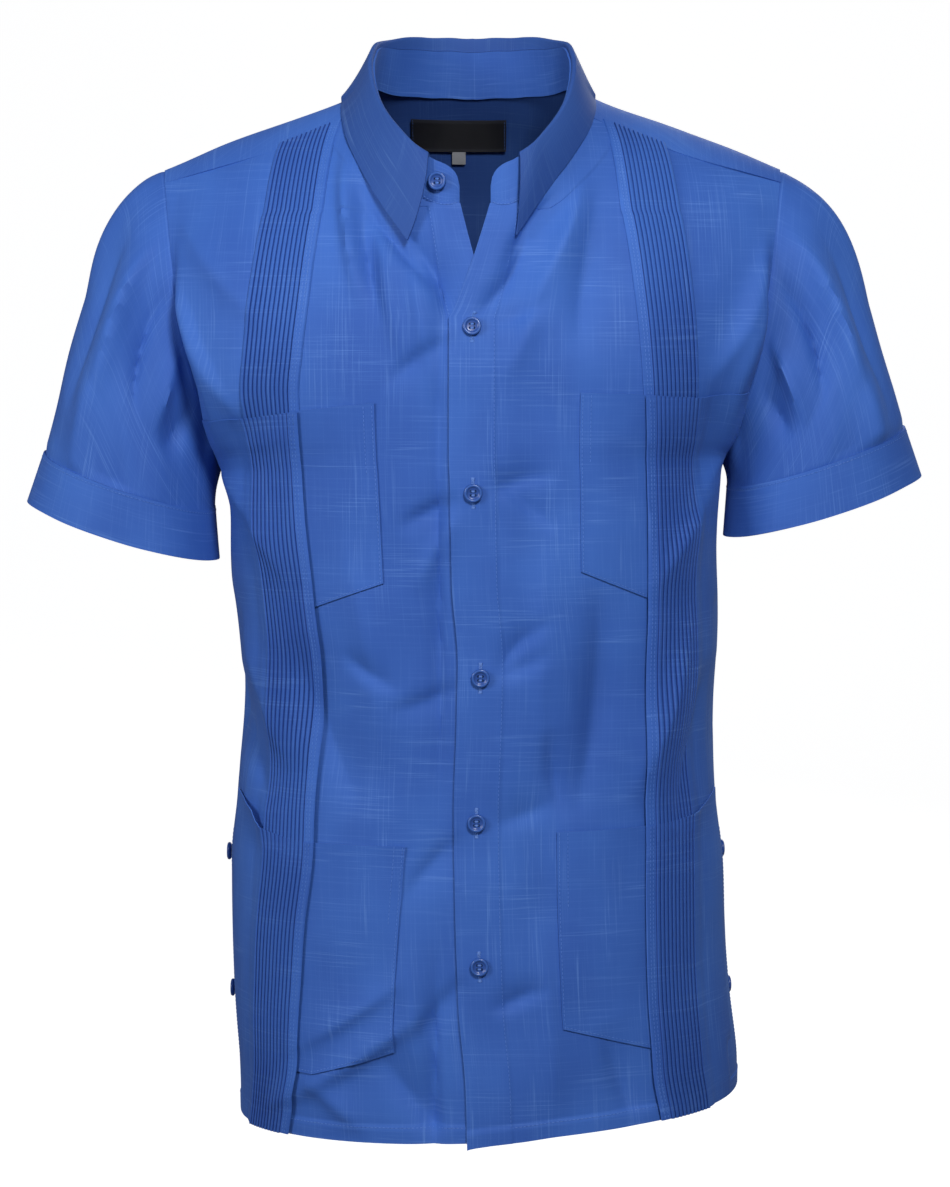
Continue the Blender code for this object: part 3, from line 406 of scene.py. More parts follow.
BAND = (
    BandRow(HEM_HEIGHT, 0.1459, 0.1220),
    BandRow(-0.677, 0.1355, 0.1172),
    BandRow(-0.575, 0.1223, 0.1180),
    BandRow(-0.516, 0.1140, 0.1190),
    BandRow(-0.390, 0.1120, 0.1170),
    BandRow(-0.345, 0.1130, 0.1205),
    BandRow(-0.260, 0.1195, 0.1215),
    BandRow(-0.208, 0.1200, 0.1185),
    BandRow(-0.180, 0.1170, 0.1160),
    BandRow(-0.145, 0.1128, 0.1125),
    BandRow(-0.105, 0.1082, 0.1082),
    BandRow(-0.091, 0.1058, 0.1058),
    BandRow(-0.067, 0.1030, 0.1030),
    BandRow(-0.058, 0.1015, 0.1015),
)
print("neck to hem", round(-HEM_HEIGHT * 1000), "mm")


# %% [markdown]
# ## Curves through tables
#
# A garment's outline is best given at the few levels where a maker would measure it, and
# joined smoothly between them. These helpers join the rows of a table with a curve that never
# overshoots, ease a value in and out, and round a section between an ellipse and a box.

# %% Curves
def smooth_curve(stops, values, at):
    """A smooth curve through the stops that never overshoots them."""
    stops, values, at = (np.asarray(v, float) for v in (stops, values, at))
    steps = np.diff(values) / np.diff(stops)
    slopes = np.zeros_like(values)
    slopes[0], slopes[-1] = steps[0], steps[-1]
    before, after = steps[:-1], steps[1:]
    total = np.where(before * after > 0, before + after, 1.0)
    slopes[1:-1] = np.where(before * after > 0, 2 * before * after / total, 0.0)
    i = np.clip(np.searchsorted(stops, at) - 1, 0, len(stops) - 2)
    width = stops[i + 1] - stops[i]
    t = np.clip((at - stops[i]) / width, 0, 1)
    return (
        values[i] * (1 + 2 * t) * (1 - t) ** 2
        + values[i + 1] * t * t * (3 - 2 * t)
        + slopes[i] * width * t * (1 - t) ** 2
        - slopes[i + 1] * width * t * t * (1 - t)
    )


def from_table(table, column, at):
    """A named column of a table, read at a value of the table's first column."""
    return smooth_curve([row[0] for row in table], [getattr(row, column) for row in table], at)


def eased(t):
    t = np.clip(t, 0, 1)
    return t * t * (3 - 2 * t)


def between(a, b, share):
    return a + (b - a) * share


def superellipse(share, power):
    return np.maximum(0, 1 - np.clip(np.abs(share), 0, 1) ** power) ** (1 / power)


def form_y(x, height, facing):
    """How far forward (facing -1) or back (facing 1) the form is."""
    column = "front_depth" if facing < 0 else "back_depth"
    depth = from_table(TORSO, column, height)
    reach = depth * superellipse(x / from_table(TORSO, "half_width", height), SQUARENESS)
    ridge = from_table(RIDGE, "height", np.abs(x))
    fall = np.clip((ridge - height) / (ridge - CHEST_HEIGHT), 0, 1)
    return facing * reach * superellipse(1 - fall, SHOULDER_ROUNDNESS) + RIDGE_Y * (1 - fall)


def spline_weights(t):
    return (
        0.5 * (-t + 2 * t**2 - t**3),
        0.5 * (2 - 5 * t**2 + 3 * t**3),
        0.5 * (t + 4 * t**2 - 3 * t**3),
        0.5 * (-(t**2) + t**3),
    )


def lattice_value(table, row, column):
    """Catmull-Rom interpolation in a table that is mirrored at its first column."""
    padded = np.concatenate([table[:, 1:2], table], axis=1)
    i = np.clip(np.floor(row).astype(int), 1, table.shape[0] - 3)
    j = np.clip(np.floor(column).astype(int), 0, table.shape[1] - 3)
    total = 0.0
    for k, row_weight in enumerate(spline_weights(row - i)):
        for m, column_weight in enumerate(spline_weights(column - j)):
            total = total + row_weight * column_weight * padded[i + k - 1, j + m]
    return total


print("armpit half width", float(from_table(TORSO, "half_width", ARMPIT_HEIGHT)))


# %% [markdown]
# ## The rounds of the shirt
#
# Cloth keeps its length, so places on it are found by the distance round the body from the
# centre line, as a tailor measures. Each level section is stepped from the centre line to the
# side, and its places at even distances are kept in a lattice. A place at any distance and
# height is then looked up between them.

# %% Sections
class Sections:
    """One face of the form, read by distance round it and height."""

    HEIGHT_STEP = 0.005
    FLAT_STEP = 0.0025

    def __init__(self, facing):
        self.facing = facing
        self.heights = np.arange(-0.80, 0.045, self.HEIGHT_STEP)
        self.flats = np.arange(0, 0.32, self.FLAT_STEP)
        rows = [self.section(height) for height in self.heights]
        self.x = np.array([np.interp(self.flats, along, x) for x, y, along in rows])
        self.y = np.array([np.interp(self.flats, along, y) for x, y, along in rows])

    def section(self, height):
        ridge_x = np.interp(-height, [-r.height for r in RIDGE], [r.x for r in RIDGE])
        widest = float(from_table(TORSO, "half_width", height))
        if height > RIDGE[-1].height:
            widest = min(widest, ridge_x)
        turn = np.linspace(0, math.pi / 2, 300)
        x = widest * np.sin(turn) ** (2 / SQUARENESS)
        y = form_y(x, height, self.facing)
        along = np.concatenate([[0], np.cumsum(np.hypot(np.diff(x), np.diff(y)))])
        return x, y, along

    def flat_at(self, x, height):
        xs, _, along = self.section(height)
        return float(np.interp(x, xs, along))

    def side_at(self, height):
        return float(self.section(height)[2][-1])

    def points(self, flat, height):
        flat, height = np.broadcast_arrays(np.asarray(flat, float), np.asarray(height, float))
        column = np.abs(flat) / self.FLAT_STEP
        row = (height - self.heights[0]) / self.HEIGHT_STEP
        x = lattice_value(self.x, row, column) * np.sign(flat)
        y = lattice_value(self.y, row, column)
        x = np.where(np.abs(flat) < 1e-12, 0, x) + from_table(TORSO, "centre_x", height)
        return np.stack([x, y, height], axis=-1)


FRONT, BACK = Sections(-1), Sections(1)


def neck_point(turn):
    """(x, y, height) of the neckline on the wearer's left. turn 0 is the centre back."""
    x = NECK.half_width * math.sin(turn)
    y = NECK.centre_y + NECK.half_length * math.cos(turn)
    facing = -1 if y < RIDGE_Y else 1
    low, high = CHEST_HEIGHT, float(from_table(RIDGE, "height", abs(x)))
    for _ in range(26):
        middle = (low + high) / 2
        inside = facing * (float(form_y(x, middle, facing)) - y) > 0
        low, high = (middle, high) if inside else (low, middle)
    return x, y, low


def armhole_x(height, facing):
    return float(from_table(ARMHOLE, "front_x" if facing < 0 else "back_x", height))


def outer_flat(sections, height, vent=0.0):
    """The distance round to the side seam, or above the armpit to the armhole."""
    side = sections.side_at(height)
    if height < VENT_TOP:
        return side - vent * float(eased((VENT_TOP - height) / 0.08))
    if height <= ARMPIT_HEIGHT:
        return side
    return min(sections.flat_at(armhole_x(height, sections.facing), height), side)


print("half round at the hem", round(FRONT.side_at(-0.72) * 1000), "mm front")

# %% [markdown]
# ## Creases
#
# Cloth at rest on a body is never smooth. It drags from the armholes, from the collar and from
# each button, and it hangs in slack troughs at the waist. Simulating that would give folds, but
# not these folds, so each is placed one by one: a soft ridge or trough along a line, steeper on
# one side, dying out at both ends. Depths and bows come back, but no two folds in a table share
# all three of length, depth and bow. The same field moves the panel, its tucks and its
# pockets, so they crease together.

# %% Crease tables
# x and height of both ends, the width of the steep and the slack side, the rise, and the bow
Fold = namedtuple("Fold", "x0 z0 x1 z1 steep slack rise bow")
FRONT_FOLDS = (
    # from the right armhole across the chest
    Fold(-0.214, -0.098, -0.150, -0.232, 0.007, 0.022, 0.0042, 0.006),
    Fold(-0.206, -0.128, -0.166, -0.262, 0.006, 0.014, 0.0034, -0.005),
    Fold(-0.211, -0.075, -0.135, -0.168, 0.010, 0.020, 0.0020, 0.004),
    Fold(-0.196, -0.190, -0.150, -0.300, 0.007, 0.016, 0.0030, 0.004),
    Fold(-0.176, -0.262, -0.120, -0.345, 0.009, 0.020, 0.0022, -0.004),
    # from the right of the collar
    Fold(-0.088, -0.030, -0.076, -0.150, 0.004, 0.012, 0.0034, 0.004),
    Fold(-0.077, -0.050, -0.058, -0.165, 0.006, 0.013, -0.0030, 0.006),
    Fold(-0.064, -0.075, -0.045, -0.190, 0.006, 0.014, 0.0026, 0.004),
    Fold(-0.046, -0.098, -0.015, -0.168, 0.005, 0.011, -0.0036, -0.007),
    Fold(-0.040, -0.105, -0.022, -0.215, 0.007, 0.013, 0.0022, 0.003),
    # from the points of the leaf
    Fold(-0.080, -0.068, -0.014, -0.146, 0.004, 0.010, -0.0030, 0.004),
    Fold(0.043, -0.094, -0.002, -0.160, 0.006, 0.014, -0.0034, -0.004),
    Fold(-0.198, -0.126, -0.158, -0.214, 0.005, 0.013, -0.0032, 0.004),
    # beside the left front's edge, down to the waist and again below the last button
    Fold(-0.021, -0.110, -0.021, -0.540, 0.008, 0.003, -0.0022, 0.001),
    Fold(-0.024, -0.580, -0.025, -0.800, 0.010, 0.004, -0.0032, 0.001),
    # drags at the front buttons, to the right
    Fold(-0.006, -0.166, -0.062, -0.205, 0.004, 0.010, -0.0016, 0.004),
    Fold(-0.006, -0.276, -0.052, -0.300, 0.004, 0.009, -0.0018, 0.002),
    Fold(-0.004, -0.282, -0.040, -0.345, 0.005, 0.010, 0.0016, 0.003),
    Fold(-0.004, -0.402, -0.060, -0.425, 0.005, 0.010, -0.0014, -0.003),
    Fold(-0.002, -0.505, -0.050, -0.560, 0.005, 0.012, -0.0015, 0.004),
    Fold(-0.002, -0.604, -0.042, -0.660, 0.005, 0.011, -0.0016, 0.003),
    # the right front's waist and hip
    Fold(-0.118, -0.372, -0.070, -0.500, 0.012, 0.022, -0.0028, 0.008),
    Fold(-0.090, -0.300, -0.062, -0.470, 0.012, 0.020, 0.0018, -0.006),
    Fold(-0.160, -0.350, -0.120, -0.470, 0.009, 0.018, 0.0028, 0.006),
    Fold(-0.170, -0.400, -0.135, -0.500, 0.008, 0.016, -0.0024, 0.004),
    Fold(-0.045, -0.560, -0.028, -0.700, 0.010, 0.018, 0.0022, 0.004),
    Fold(-0.066, -0.655, -0.018, -0.718, 0.007, 0.014, -0.0026, 0.004),
    Fold(-0.120, -0.680, -0.070, -0.722, 0.007, 0.012, 0.0018, -0.002),
    Fold(-0.146, -0.712, -0.022, -0.624, 0.005, 0.012, 0.0024, 0.002),
    Fold(-0.130, -0.668, -0.040, -0.604, 0.005, 0.011, 0.0016, 0.002),
    Fold(-0.090, -0.384, -0.046, -0.412, 0.004, 0.010, -0.0018, 0.002),
    # from the left armhole
    Fold(0.212, -0.088, 0.160, -0.205, 0.007, 0.020, 0.0036, -0.006),
    Fold(0.204, -0.135, 0.172, -0.245, 0.006, 0.013, 0.0030, 0.004),
    Fold(0.190, -0.200, 0.150, -0.290, 0.007, 0.015, 0.0028, -0.003),
    Fold(0.176, -0.262, 0.120, -0.350, 0.009, 0.018, 0.0024, 0.004),
    # from the left of the collar
    Fold(0.078, -0.055, 0.036, -0.150, 0.007, 0.015, 0.0030, -0.005),
    Fold(0.062, -0.066, 0.018, -0.128, 0.005, 0.012, -0.0028, 0.004),
    Fold(0.088, -0.060, 0.072, -0.185, 0.008, 0.016, -0.0022, 0.004),
    Fold(0.050, -0.120, 0.020, -0.200, 0.006, 0.014, 0.0018, -0.003),
    # drags at the front buttons, to the left
    Fold(0.006, -0.162, 0.055, -0.142, 0.005, 0.010, -0.0013, 0.003),
    Fold(0.008, -0.276, 0.060, -0.262, 0.005, 0.011, -0.0014, -0.003),
    Fold(0.010, -0.402, 0.055, -0.380, 0.005, 0.011, -0.0014, 0.003),
    Fold(0.010, -0.503, 0.060, -0.485, 0.006, 0.012, -0.0013, 0.002),
    Fold(0.012, -0.257, 0.060, -0.302, 0.004, 0.010, -0.0016, 0.002),
    Fold(0.015, -0.398, 0.054, -0.360, 0.004, 0.010, -0.0018, -0.002),
    Fold(0.010, -0.631, 0.054, -0.613, 0.004, 0.010, -0.0018, 0.001),
    # the left front's waist and hip
    Fold(0.051, -0.434, 0.063, -0.502, 0.005, 0.010, -0.0020, 0.002),
    Fold(0.086, -0.330, 0.070, -0.505, 0.011, 0.022, -0.0036, -0.007),
    Fold(0.052, -0.300, 0.050, -0.470, 0.012, 0.022, 0.0022, 0.005),
    Fold(0.150, -0.350, 0.110, -0.490, 0.009, 0.018, 0.0026, -0.005),
    Fold(0.168, -0.390, 0.140, -0.510, 0.008, 0.016, -0.0024, 0.004),
    Fold(0.042, -0.560, 0.056, -0.715, 0.010, 0.018, 0.0022, -0.004),
    Fold(0.090, -0.640, 0.120, -0.722, 0.008, 0.016, -0.0022, 0.003),
)
BACK_FOLDS = (
    Fold(-0.150, -0.120, -0.110, -0.330, 0.010, 0.024, 0.0046, 0.008),
    Fold(-0.185, -0.150, -0.140, -0.290, 0.007, 0.016, 0.0038, -0.005),
    Fold(0.158, -0.115, 0.118, -0.310, 0.010, 0.022, 0.0042, -0.007),
    Fold(0.188, -0.160, 0.146, -0.300, 0.007, 0.017, 0.0034, 0.005),
    Fold(-0.060, -0.150, -0.078, -0.420, 0.016, 0.030, 0.0034, 0.006),
    Fold(0.046, -0.160, 0.070, -0.450, 0.015, 0.032, 0.0036, -0.006),
    Fold(-0.100, -0.380, -0.060, -0.560, 0.012, 0.026, -0.0034, 0.006),
    Fold(0.095, -0.390, 0.050, -0.580, 0.012, 0.024, -0.0030, -0.007),
    Fold(-0.150, -0.400, -0.128, -0.600, 0.012, 0.022, 0.0034, 0.005),
    Fold(0.150, -0.410, 0.134, -0.620, 0.012, 0.022, 0.0032, -0.004),
    Fold(-0.010, -0.480, 0.006, -0.718, 0.014, 0.026, 0.0030, 0.004),
    Fold(-0.085, -0.590, -0.100, -0.722, 0.010, 0.020, 0.0026, 0.003),
    Fold(0.086, -0.600, 0.104, -0.722, 0.010, 0.022, -0.0026, 0.003),
)
# On a sleeve the ends are distances round it from the top and down it from the armhole
SLEEVE_FOLDS = (
    Fold(0.050, 0.004, 0.068, 0.120, 0.007, 0.016, 0.0040, 0.006),
    Fold(0.086, 0.006, 0.104, 0.090, 0.006, 0.013, -0.0034, -0.004),
    Fold(0.030, 0.030, 0.040, 0.175, 0.010, 0.020, -0.0026, 0.006),
    Fold(0.078, 0.060, 0.060, 0.205, 0.010, 0.020, 0.0028, -0.005),
    Fold(0.120, 0.004, 0.118, 0.080, 0.006, 0.012, 0.0036, 0.004),
    Fold(0.150, 0.010, 0.128, 0.075, 0.006, 0.010, -0.0028, 0.003),
    Fold(0.012, 0.008, 0.006, 0.120, 0.010, 0.022, 0.0018, -0.004),
    Fold(0.100, 0.110, 0.086, 0.225, 0.008, 0.018, -0.0022, 0.004),
    Fold(-0.052, 0.006, -0.066, 0.130, 0.008, 0.018, 0.0040, -0.006),
    Fold(-0.090, 0.004, -0.104, 0.100, 0.006, 0.014, -0.0032, 0.005),
    Fold(-0.034, 0.040, -0.044, 0.190, 0.010, 0.022, -0.0026, -0.004),
    Fold(-0.124, 0.008, -0.120, 0.078, 0.006, 0.012, 0.0034, -0.004),
    Fold(-0.082, 0.080, -0.070, 0.215, 0.010, 0.020, 0.0026, 0.005),
)


FOLD_DEPTH = 2.6


def creased(folds, x, z):
    """How far the folds move the cloth out at each place."""
    out = np.zeros(np.broadcast(x, z).shape)
    for f in folds:
        along = np.array([f.x1 - f.x0, f.z1 - f.z0])
        length = math.hypot(*along)
        along = along / length
        t = ((x - f.x0) * along[0] + (z - f.z0) * along[1]) / length
        aside = (x - f.x0) * along[1] - (z - f.z0) * along[0] - f.bow * 4 * t * (1 - t)
        width = np.where(aside > 0, f.steep, f.slack)
        ends = np.sin(math.pi * np.clip(t, 0, 1)) ** 1.3
        out += f.rise * ends * np.exp(-np.abs(aside / width) ** 1.4)
    return FOLD_DEPTH * out


def slack(x, z, seed):
    """Broad, faint unevenness between the folds."""
    return 0.0007 * (
        np.sin(31 * x + 17 * z + seed) * np.sin(23 * z - 11 * x + 2.1 * seed)
        + 0.6 * np.sin(57 * x - 41 * z + 1.7 * seed) * np.sin(49 * z + 29 * x - seed)
    )


print("folds", len(FRONT_FOLDS), "front", len(BACK_FOLDS), "back", len(SLEEVE_FOLDS), "a sleeve")

# %% [markdown]
# ## Laying cloth
#
# Every piece of cloth is a flat grid from one operator. Its points are then laid on the form,
# its UV is the place on the cut cloth in metres, and a wall turns it from a surface into cloth:
# half a millimetre at the tucks, 0.9 on a panel and up to 1.6 where layers are sewn together.
# The wall is applied, and edges sharper than a fold are marked, so a turned
# hem catches the light along its rim.


# %% Cloth maker
def applied(obj):
    """The object with its modifiers made real and its hard edges marked."""
    graph = bpy.context.evaluated_depsgraph_get()
    mesh = bpy.data.meshes.new_from_object(obj.evaluated_get(graph))
    obj.modifiers.clear()
    old, obj.data = obj.data, mesh
    bpy.data.meshes.remove(old)
    mesh.shade_smooth()
    mesh.set_sharp_from_angle(angle=math.radians(48))
    return obj


def cut_size(places):
    """The width, length and area of the cloth that a grid of places takes."""
    a, b = places[1:, 1:] - places[:-1, :-1], places[1:, :-1] - places[:-1, 1:]
    area = float(np.linalg.norm(np.cross(a, b), axis=-1).sum() / 2)
    steps = np.linalg.norm(np.diff(places, axis=0), axis=-1).sum(axis=0)
    turns = np.linalg.norm(np.diff(places, axis=1), axis=-1).sum(axis=1)
    width, length = float(turns.max()), float(steps.max())
    return width, length, min(max(area, 0.31 * width * length), width * length)


def cloth(name, places, flat, wall=WALL, flip=False, closed=False, finish=None):
    """A wall of cloth on a grid of places (rows up, columns across) with its flat UV."""
    rows, columns = places.shape[:2]
    bm = bmesh.new()
    bmesh.ops.create_grid(bm, x_segments=columns - 1, y_segments=rows - 1, size=0.5)
    mesh = bpy.data.meshes.new(name)
    bm.to_mesh(mesh)
    bm.free()
    grid = np.empty(len(mesh.vertices) * 3)
    mesh.vertices.foreach_get("co", grid)
    grid = grid.reshape(-1, 3)
    column = np.rint((grid[:, 0] + 0.5) * (columns - 1)).astype(int)
    row = np.rint((grid[:, 1] + 0.5) * (rows - 1)).astype(int)
    mesh.vertices.foreach_set("co", places[row, column].reshape(-1))
    corner = np.empty(len(mesh.loops), dtype=np.int32)
    mesh.loops.foreach_get("vertex_index", corner)
    layer = mesh.uv_layers.new(name="flat")
    layer.data.foreach_set("uv", flat[row, column][corner].reshape(-1))
    bm = bmesh.new()
    bm.from_mesh(mesh)
    if closed:
        bmesh.ops.remove_doubles(bm, verts=bm.verts, dist=1e-6)
    if flip:
        bmesh.ops.reverse_faces(bm, faces=bm.faces)
    bm.to_mesh(mesh)
    bm.free()
    obj = bpy.data.objects.new(name, mesh)
    scene.collection.objects.link(obj)
    mesh.materials.append(finish or cloth_finish)
    solid = obj.modifiers.new("wall", "SOLIDIFY")
    solid.thickness, solid.offset = wall, 1.0
    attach(applied(obj), "root")
    width, length, area = cut_size(places)
    print(f"  {name}: {width * 1000:.0f} x {length * 1000:.0f} mm, {area * 1e4:.0f} cm2")
    return obj


def mark_inside(piece, count):
    """Shift the flat coordinates of the wall's inner faces, which come after the outer ones."""
    # The finish paints shade on the faces shifted here, for the dark inside of the shirt.
    layer = piece.data.uv_layers["flat"]
    inner = [face for face in piece.data.polygons if min(face.vertices) >= count]
    for face in inner:
        for corner in face.loop_indices:
            layer.data[corner].uv.x += INSIDE_SHIFT
    level = [Vector((face.center.x, face.center.y, 0)) for face in inner]
    inward = -np.mean([face.normal.dot(place) for face, place in zip(inner, level)])
    print(f"  {piece.name}: {len(inner)} inner faces, facing", "inwards" if inward > 0 else "out")
    return piece


def unit(vectors):
    return vectors / np.maximum(np.linalg.norm(vectors, axis=-1, keepdims=True), 1e-12)


def grid_of(across, up):
    return np.meshgrid(np.asarray(across, float), np.asarray(up, float))


print("cloth maker ready")


# %% [markdown]
# ## Measuring a front
#
# A front is not a rectangle. Its rows start at the straight edge, and higher up at the
# neckline, and they end at the side seam or the armhole. The top row is the yoke's seam. Each
# row is given by its two ends, so one pair of numbers, the distance across and the row, finds
# any place on the front. The tucks, the pockets, the front buttons and their stitches all use
# it, so they stay on the cloth.

# %% Fronts' own measure
def front_row(side, up):
    """(inner flat, inner height, outer flat, outer height) of one row of a front."""
    if up <= 1:
        height = between(HEM_HEIGHT, UPPER_START, up)
        return -OVERLAP, height, outer_flat(FRONT, height, VENT_OPENING[side]), height
    outer_height = between(UPPER_START, YOKE_ARMHOLE_HEIGHT, up - 1)
    outer = outer_flat(FRONT, outer_height)
    if up <= NECK_STOP:
        height = between(UPPER_START, neck_point(NECK_FRONT_TURN)[2], (up - 1) / (NECK_STOP - 1))
        return -OVERLAP, height, outer, outer_height
    x, _, height = neck_point(neck_turn_of(up))
    return math.copysign(FRONT.flat_at(abs(x), height), x), height, outer, outer_height


def neck_turn_of(up):
    return between(NECK_FRONT_TURN, YOKE_SEAM_TURN, (up - NECK_STOP) / (2 - NECK_STOP))


UPS = np.concatenate([np.linspace(0, 1, 160), np.linspace(1, 2, 90)[1:]])
ROWS = {side: np.array([front_row(side, up) for up in UPS]) for side in SIDE_SIGN}
for rows in ROWS.values():
    rows[:, 1] = np.maximum.accumulate(rows[:, 1])  # or fine rows would fold back at the neck


def up_of(height):
    """A level height as a front's up value."""
    return (height - HEM_HEIGHT) / (UPPER_START - HEM_HEIGHT)


def row_value(side, up, column):
    return np.interp(up, UPS, ROWS[side][:, column])


def band_inner(side, up):
    """The flat distance to the inner edge of the band of tucks."""
    return from_table(BAND, side, row_value(side, up, 3))


def opened(side, flat, height):
    """How far the open collar has moved the front towards its own side."""
    share = np.clip((height - TOP_BUTTON_HEIGHT) / (NECK_HEIGHT - TOP_BUTTON_HEIGHT), 0, 1)
    fade = np.clip(1 - (flat + OVERLAP) / OPEN_REACH, 0, 1) ** 1.5
    return OPEN_SPREAD[side] * share**0.8 * fade


def front_form(side, flat, up):
    """Places on the smooth form under a front."""
    inner, inner_height = row_value(side, up, 0), row_value(side, up, 1)
    outer, outer_height = row_value(side, up, 2), row_value(side, up, 3)
    share = (flat - inner) / (outer - inner)
    sag = YOKE_SEAM_DROP * np.sin(math.pi * np.clip(share, 0, 1)) * eased(up - 1)
    height = between(inner_height, outer_height, share) - sag
    drawn = between(*HEM_RISE[side], np.clip(share, 0, 1) ** HEM_BEND[side])
    height = height + drawn * eased((HEM_FADE - height) / (HEM_FADE - HEM_HEIGHT))
    place = FRONT.points(flat * SIDE_SIGN[side], height)
    place[..., 0] += SIDE_SIGN[side] * opened(side, flat, height)
    place[..., 1] -= FRONT_LIFT[side] * (1 - eased((flat - OVERLAP - 0.003) / 0.030))
    return place


def front_at(side, flat, up, lift=0.0):
    """Places on a front's creased cloth, lifted off it, and the directions outwards."""
    step = 0.0005
    flat, up = np.broadcast_arrays(np.asarray(flat, float), np.asarray(up, float))
    place = front_form(side, flat, up)
    across = front_form(side, flat + step, up) - front_form(side, flat - step, up)
    rise = front_form(side, flat, up + step) - front_form(side, flat, up - step)
    out = unit(np.cross(across, rise)) * SIDE_SIGN[side]
    fold = creased(FRONT_FOLDS, place[..., 0], place[..., 2])
    fold = fold + slack(place[..., 0], place[..., 2], 0.4)
    calm = eased((row_value(side, up, 2) - flat) / 0.012) * eased((2.0 - up) / 0.12)
    calm = calm * (1 - 0.6 * eased((-up + 0.03) / 0.03))
    return place + out * (fold * calm + lift)[..., None], out


print("front rows", len(UPS))

# %% [markdown]
# ## The two fronts
#
# Each front runs from the side seam to past the centre, where its edge is turned back 31 mm and
# stitched, and its hem is turned up 12 mm. Two layers are thicker than one, so the turned parts
# stand a little proud. The grid has extra lines at those steps, because a step needs lines
# close on both sides of it to look crisp.

# %% Fronts
FACING_WIDTH = 0.031
HEM_TURN = 0.0120
EDGE_STOPS = np.concatenate([[0, 0.0006], np.linspace(0.003, 0.0295, 11), [0.0308, 0.0314, 0.0335]])
HEM_STOPS = np.array([0, 0.0005, 0.004, 0.008, HEM_TURN - 0.0004, HEM_TURN + 0.0004, 0.015])


def garment_rows(count, top_count):
    """Up values of a front: close together at the hem, even above it."""
    hem = up_of(HEM_HEIGHT + HEM_STOPS)
    middle, top = np.linspace(hem[-1], 1, count)[1:], np.linspace(1, 2, top_count)[1:]
    return np.concatenate([hem, middle, top])


def hem_step(height):
    return 0.0006 * (1 - eased((height - HEM_HEIGHT - HEM_TURN + 0.0004) / 0.0008))


def flat_uv(flat, height, seed):
    """The cut cloth's coordinates. Each piece is cut from its own part of the roll."""
    flat, height = np.broadcast_arrays(flat, height)
    return np.stack([flat, height + 1.37 * seed], axis=-1)


def front_piece(side):
    ups = garment_rows(170, 56)[:, None]
    inner, outer = row_value(side, ups, 0), row_value(side, ups, 2)
    body = np.linspace(0, 1, 78)[1:]
    edge = inner + EDGE_STOPS
    flats = np.concatenate([edge, between(inner + EDGE_STOPS[-1], outer, body)], axis=1)
    height = row_value(side, ups, 1)
    lift = 0.0005 * (1 - eased((flats - inner - FACING_WIDTH) / 0.0006)) + hem_step(height)
    places, _ = front_at(side, flats, ups, lift)
    piece = cloth(f"cloth_front_{side}", places, flat_uv(flats, places[..., 2], side == "left"),
                  flip=side == "right")
    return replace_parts(piece, f"front_{side}")


FRONTS = {side: front_piece(side) for side in SIDE_SIGN}
print("fronts", {side: len(piece.data.polygons) for side, piece in FRONTS.items()})

# %% [markdown]
# ## Bands of tucks
#
# A tuck is a pinch of cloth sewn down along its foot. Eleven of them lie side by side like
# blinds, each with its free edge towards the centre front, next to a flat strip held by two
# close rows of stitches. The profile of one tuck is a quick rise at its free edge and a slow
# fall to the next. Light catches the rise. The dark line at the overlap is partly its own
# shadow and partly painted shade in the finish.

# %% Tuck bands
TUCK_PITCH = (BAND_WIDTH - STRIP_WIDTH) / TUCKS
TUCK_STOPS = ((0.00, 0.00), (0.05, 0.70), (0.16, 1.00), (0.42, 0.94), (0.72, 0.52), (0.97, 0.03))
TUCK_RISE = 0.0018
BAND_FLAT = 0.117  # where the band starts on the cut cloth


def band_profile():
    """(distance across the band, height) of the strip and every tuck."""
    rows = [(0.0, 0.0), (0.0005, 0.35), (0.0036, 0.30), (0.0069, 0.30)]
    for number in range(TUCKS):
        start = STRIP_WIDTH + number * TUCK_PITCH
        rows += [(start + share * TUCK_PITCH, rise) for share, rise in TUCK_STOPS]
    return np.array(rows + [(BAND_WIDTH, 0.0)]).T


# This finish paints shade into the gaps between the tucks.
banded = shirting("tucked_shirting", (BAND_FLAT + STRIP_WIDTH, TUCK_PITCH, BAND_FLAT + BAND_WIDTH))


def tuck_band(side):
    across, rise = band_profile()
    ups = np.concatenate([np.linspace(up_of(-0.232), 1, 60)[:-1], np.linspace(1, 2, 70)])[:, None]
    flats = band_inner(side, ups) + across
    lift = WALL + 0.0003 + rise * TUCK_RISE
    places, _ = front_at(side, flats, ups, lift)
    uv = flat_uv(BAND_FLAT + across[None, :], places[..., 2], 2 + (side == "left"))
    piece = cloth(
        f"cloth_tucks_{side}", places, uv, wall=0.0005, flip=side == "right", finish=banded
    )
    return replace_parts(piece, f"tuck_band_{side}")


bands = [tuck_band(side) for side in SIDE_SIGN]
print(len(bands), "bands, tuck pitch", round(TUCK_PITCH * 1000, 2), "mm")

# %% [markdown]
# ## Patch pockets
#
# Four pockets lie over the bands. Each has a plain inner half that ends in a slanted foot, and
# an outer half that repeats the tucks. The outer half runs on below the pocket, down to the
# next pocket or to the hem, so the eye follows the tucks the whole way. Its free inner edge is
# the crisp line beside the tucks. So each pocket is made as two pieces, one lapped on the
# other, and the line along the top is one curve through both.

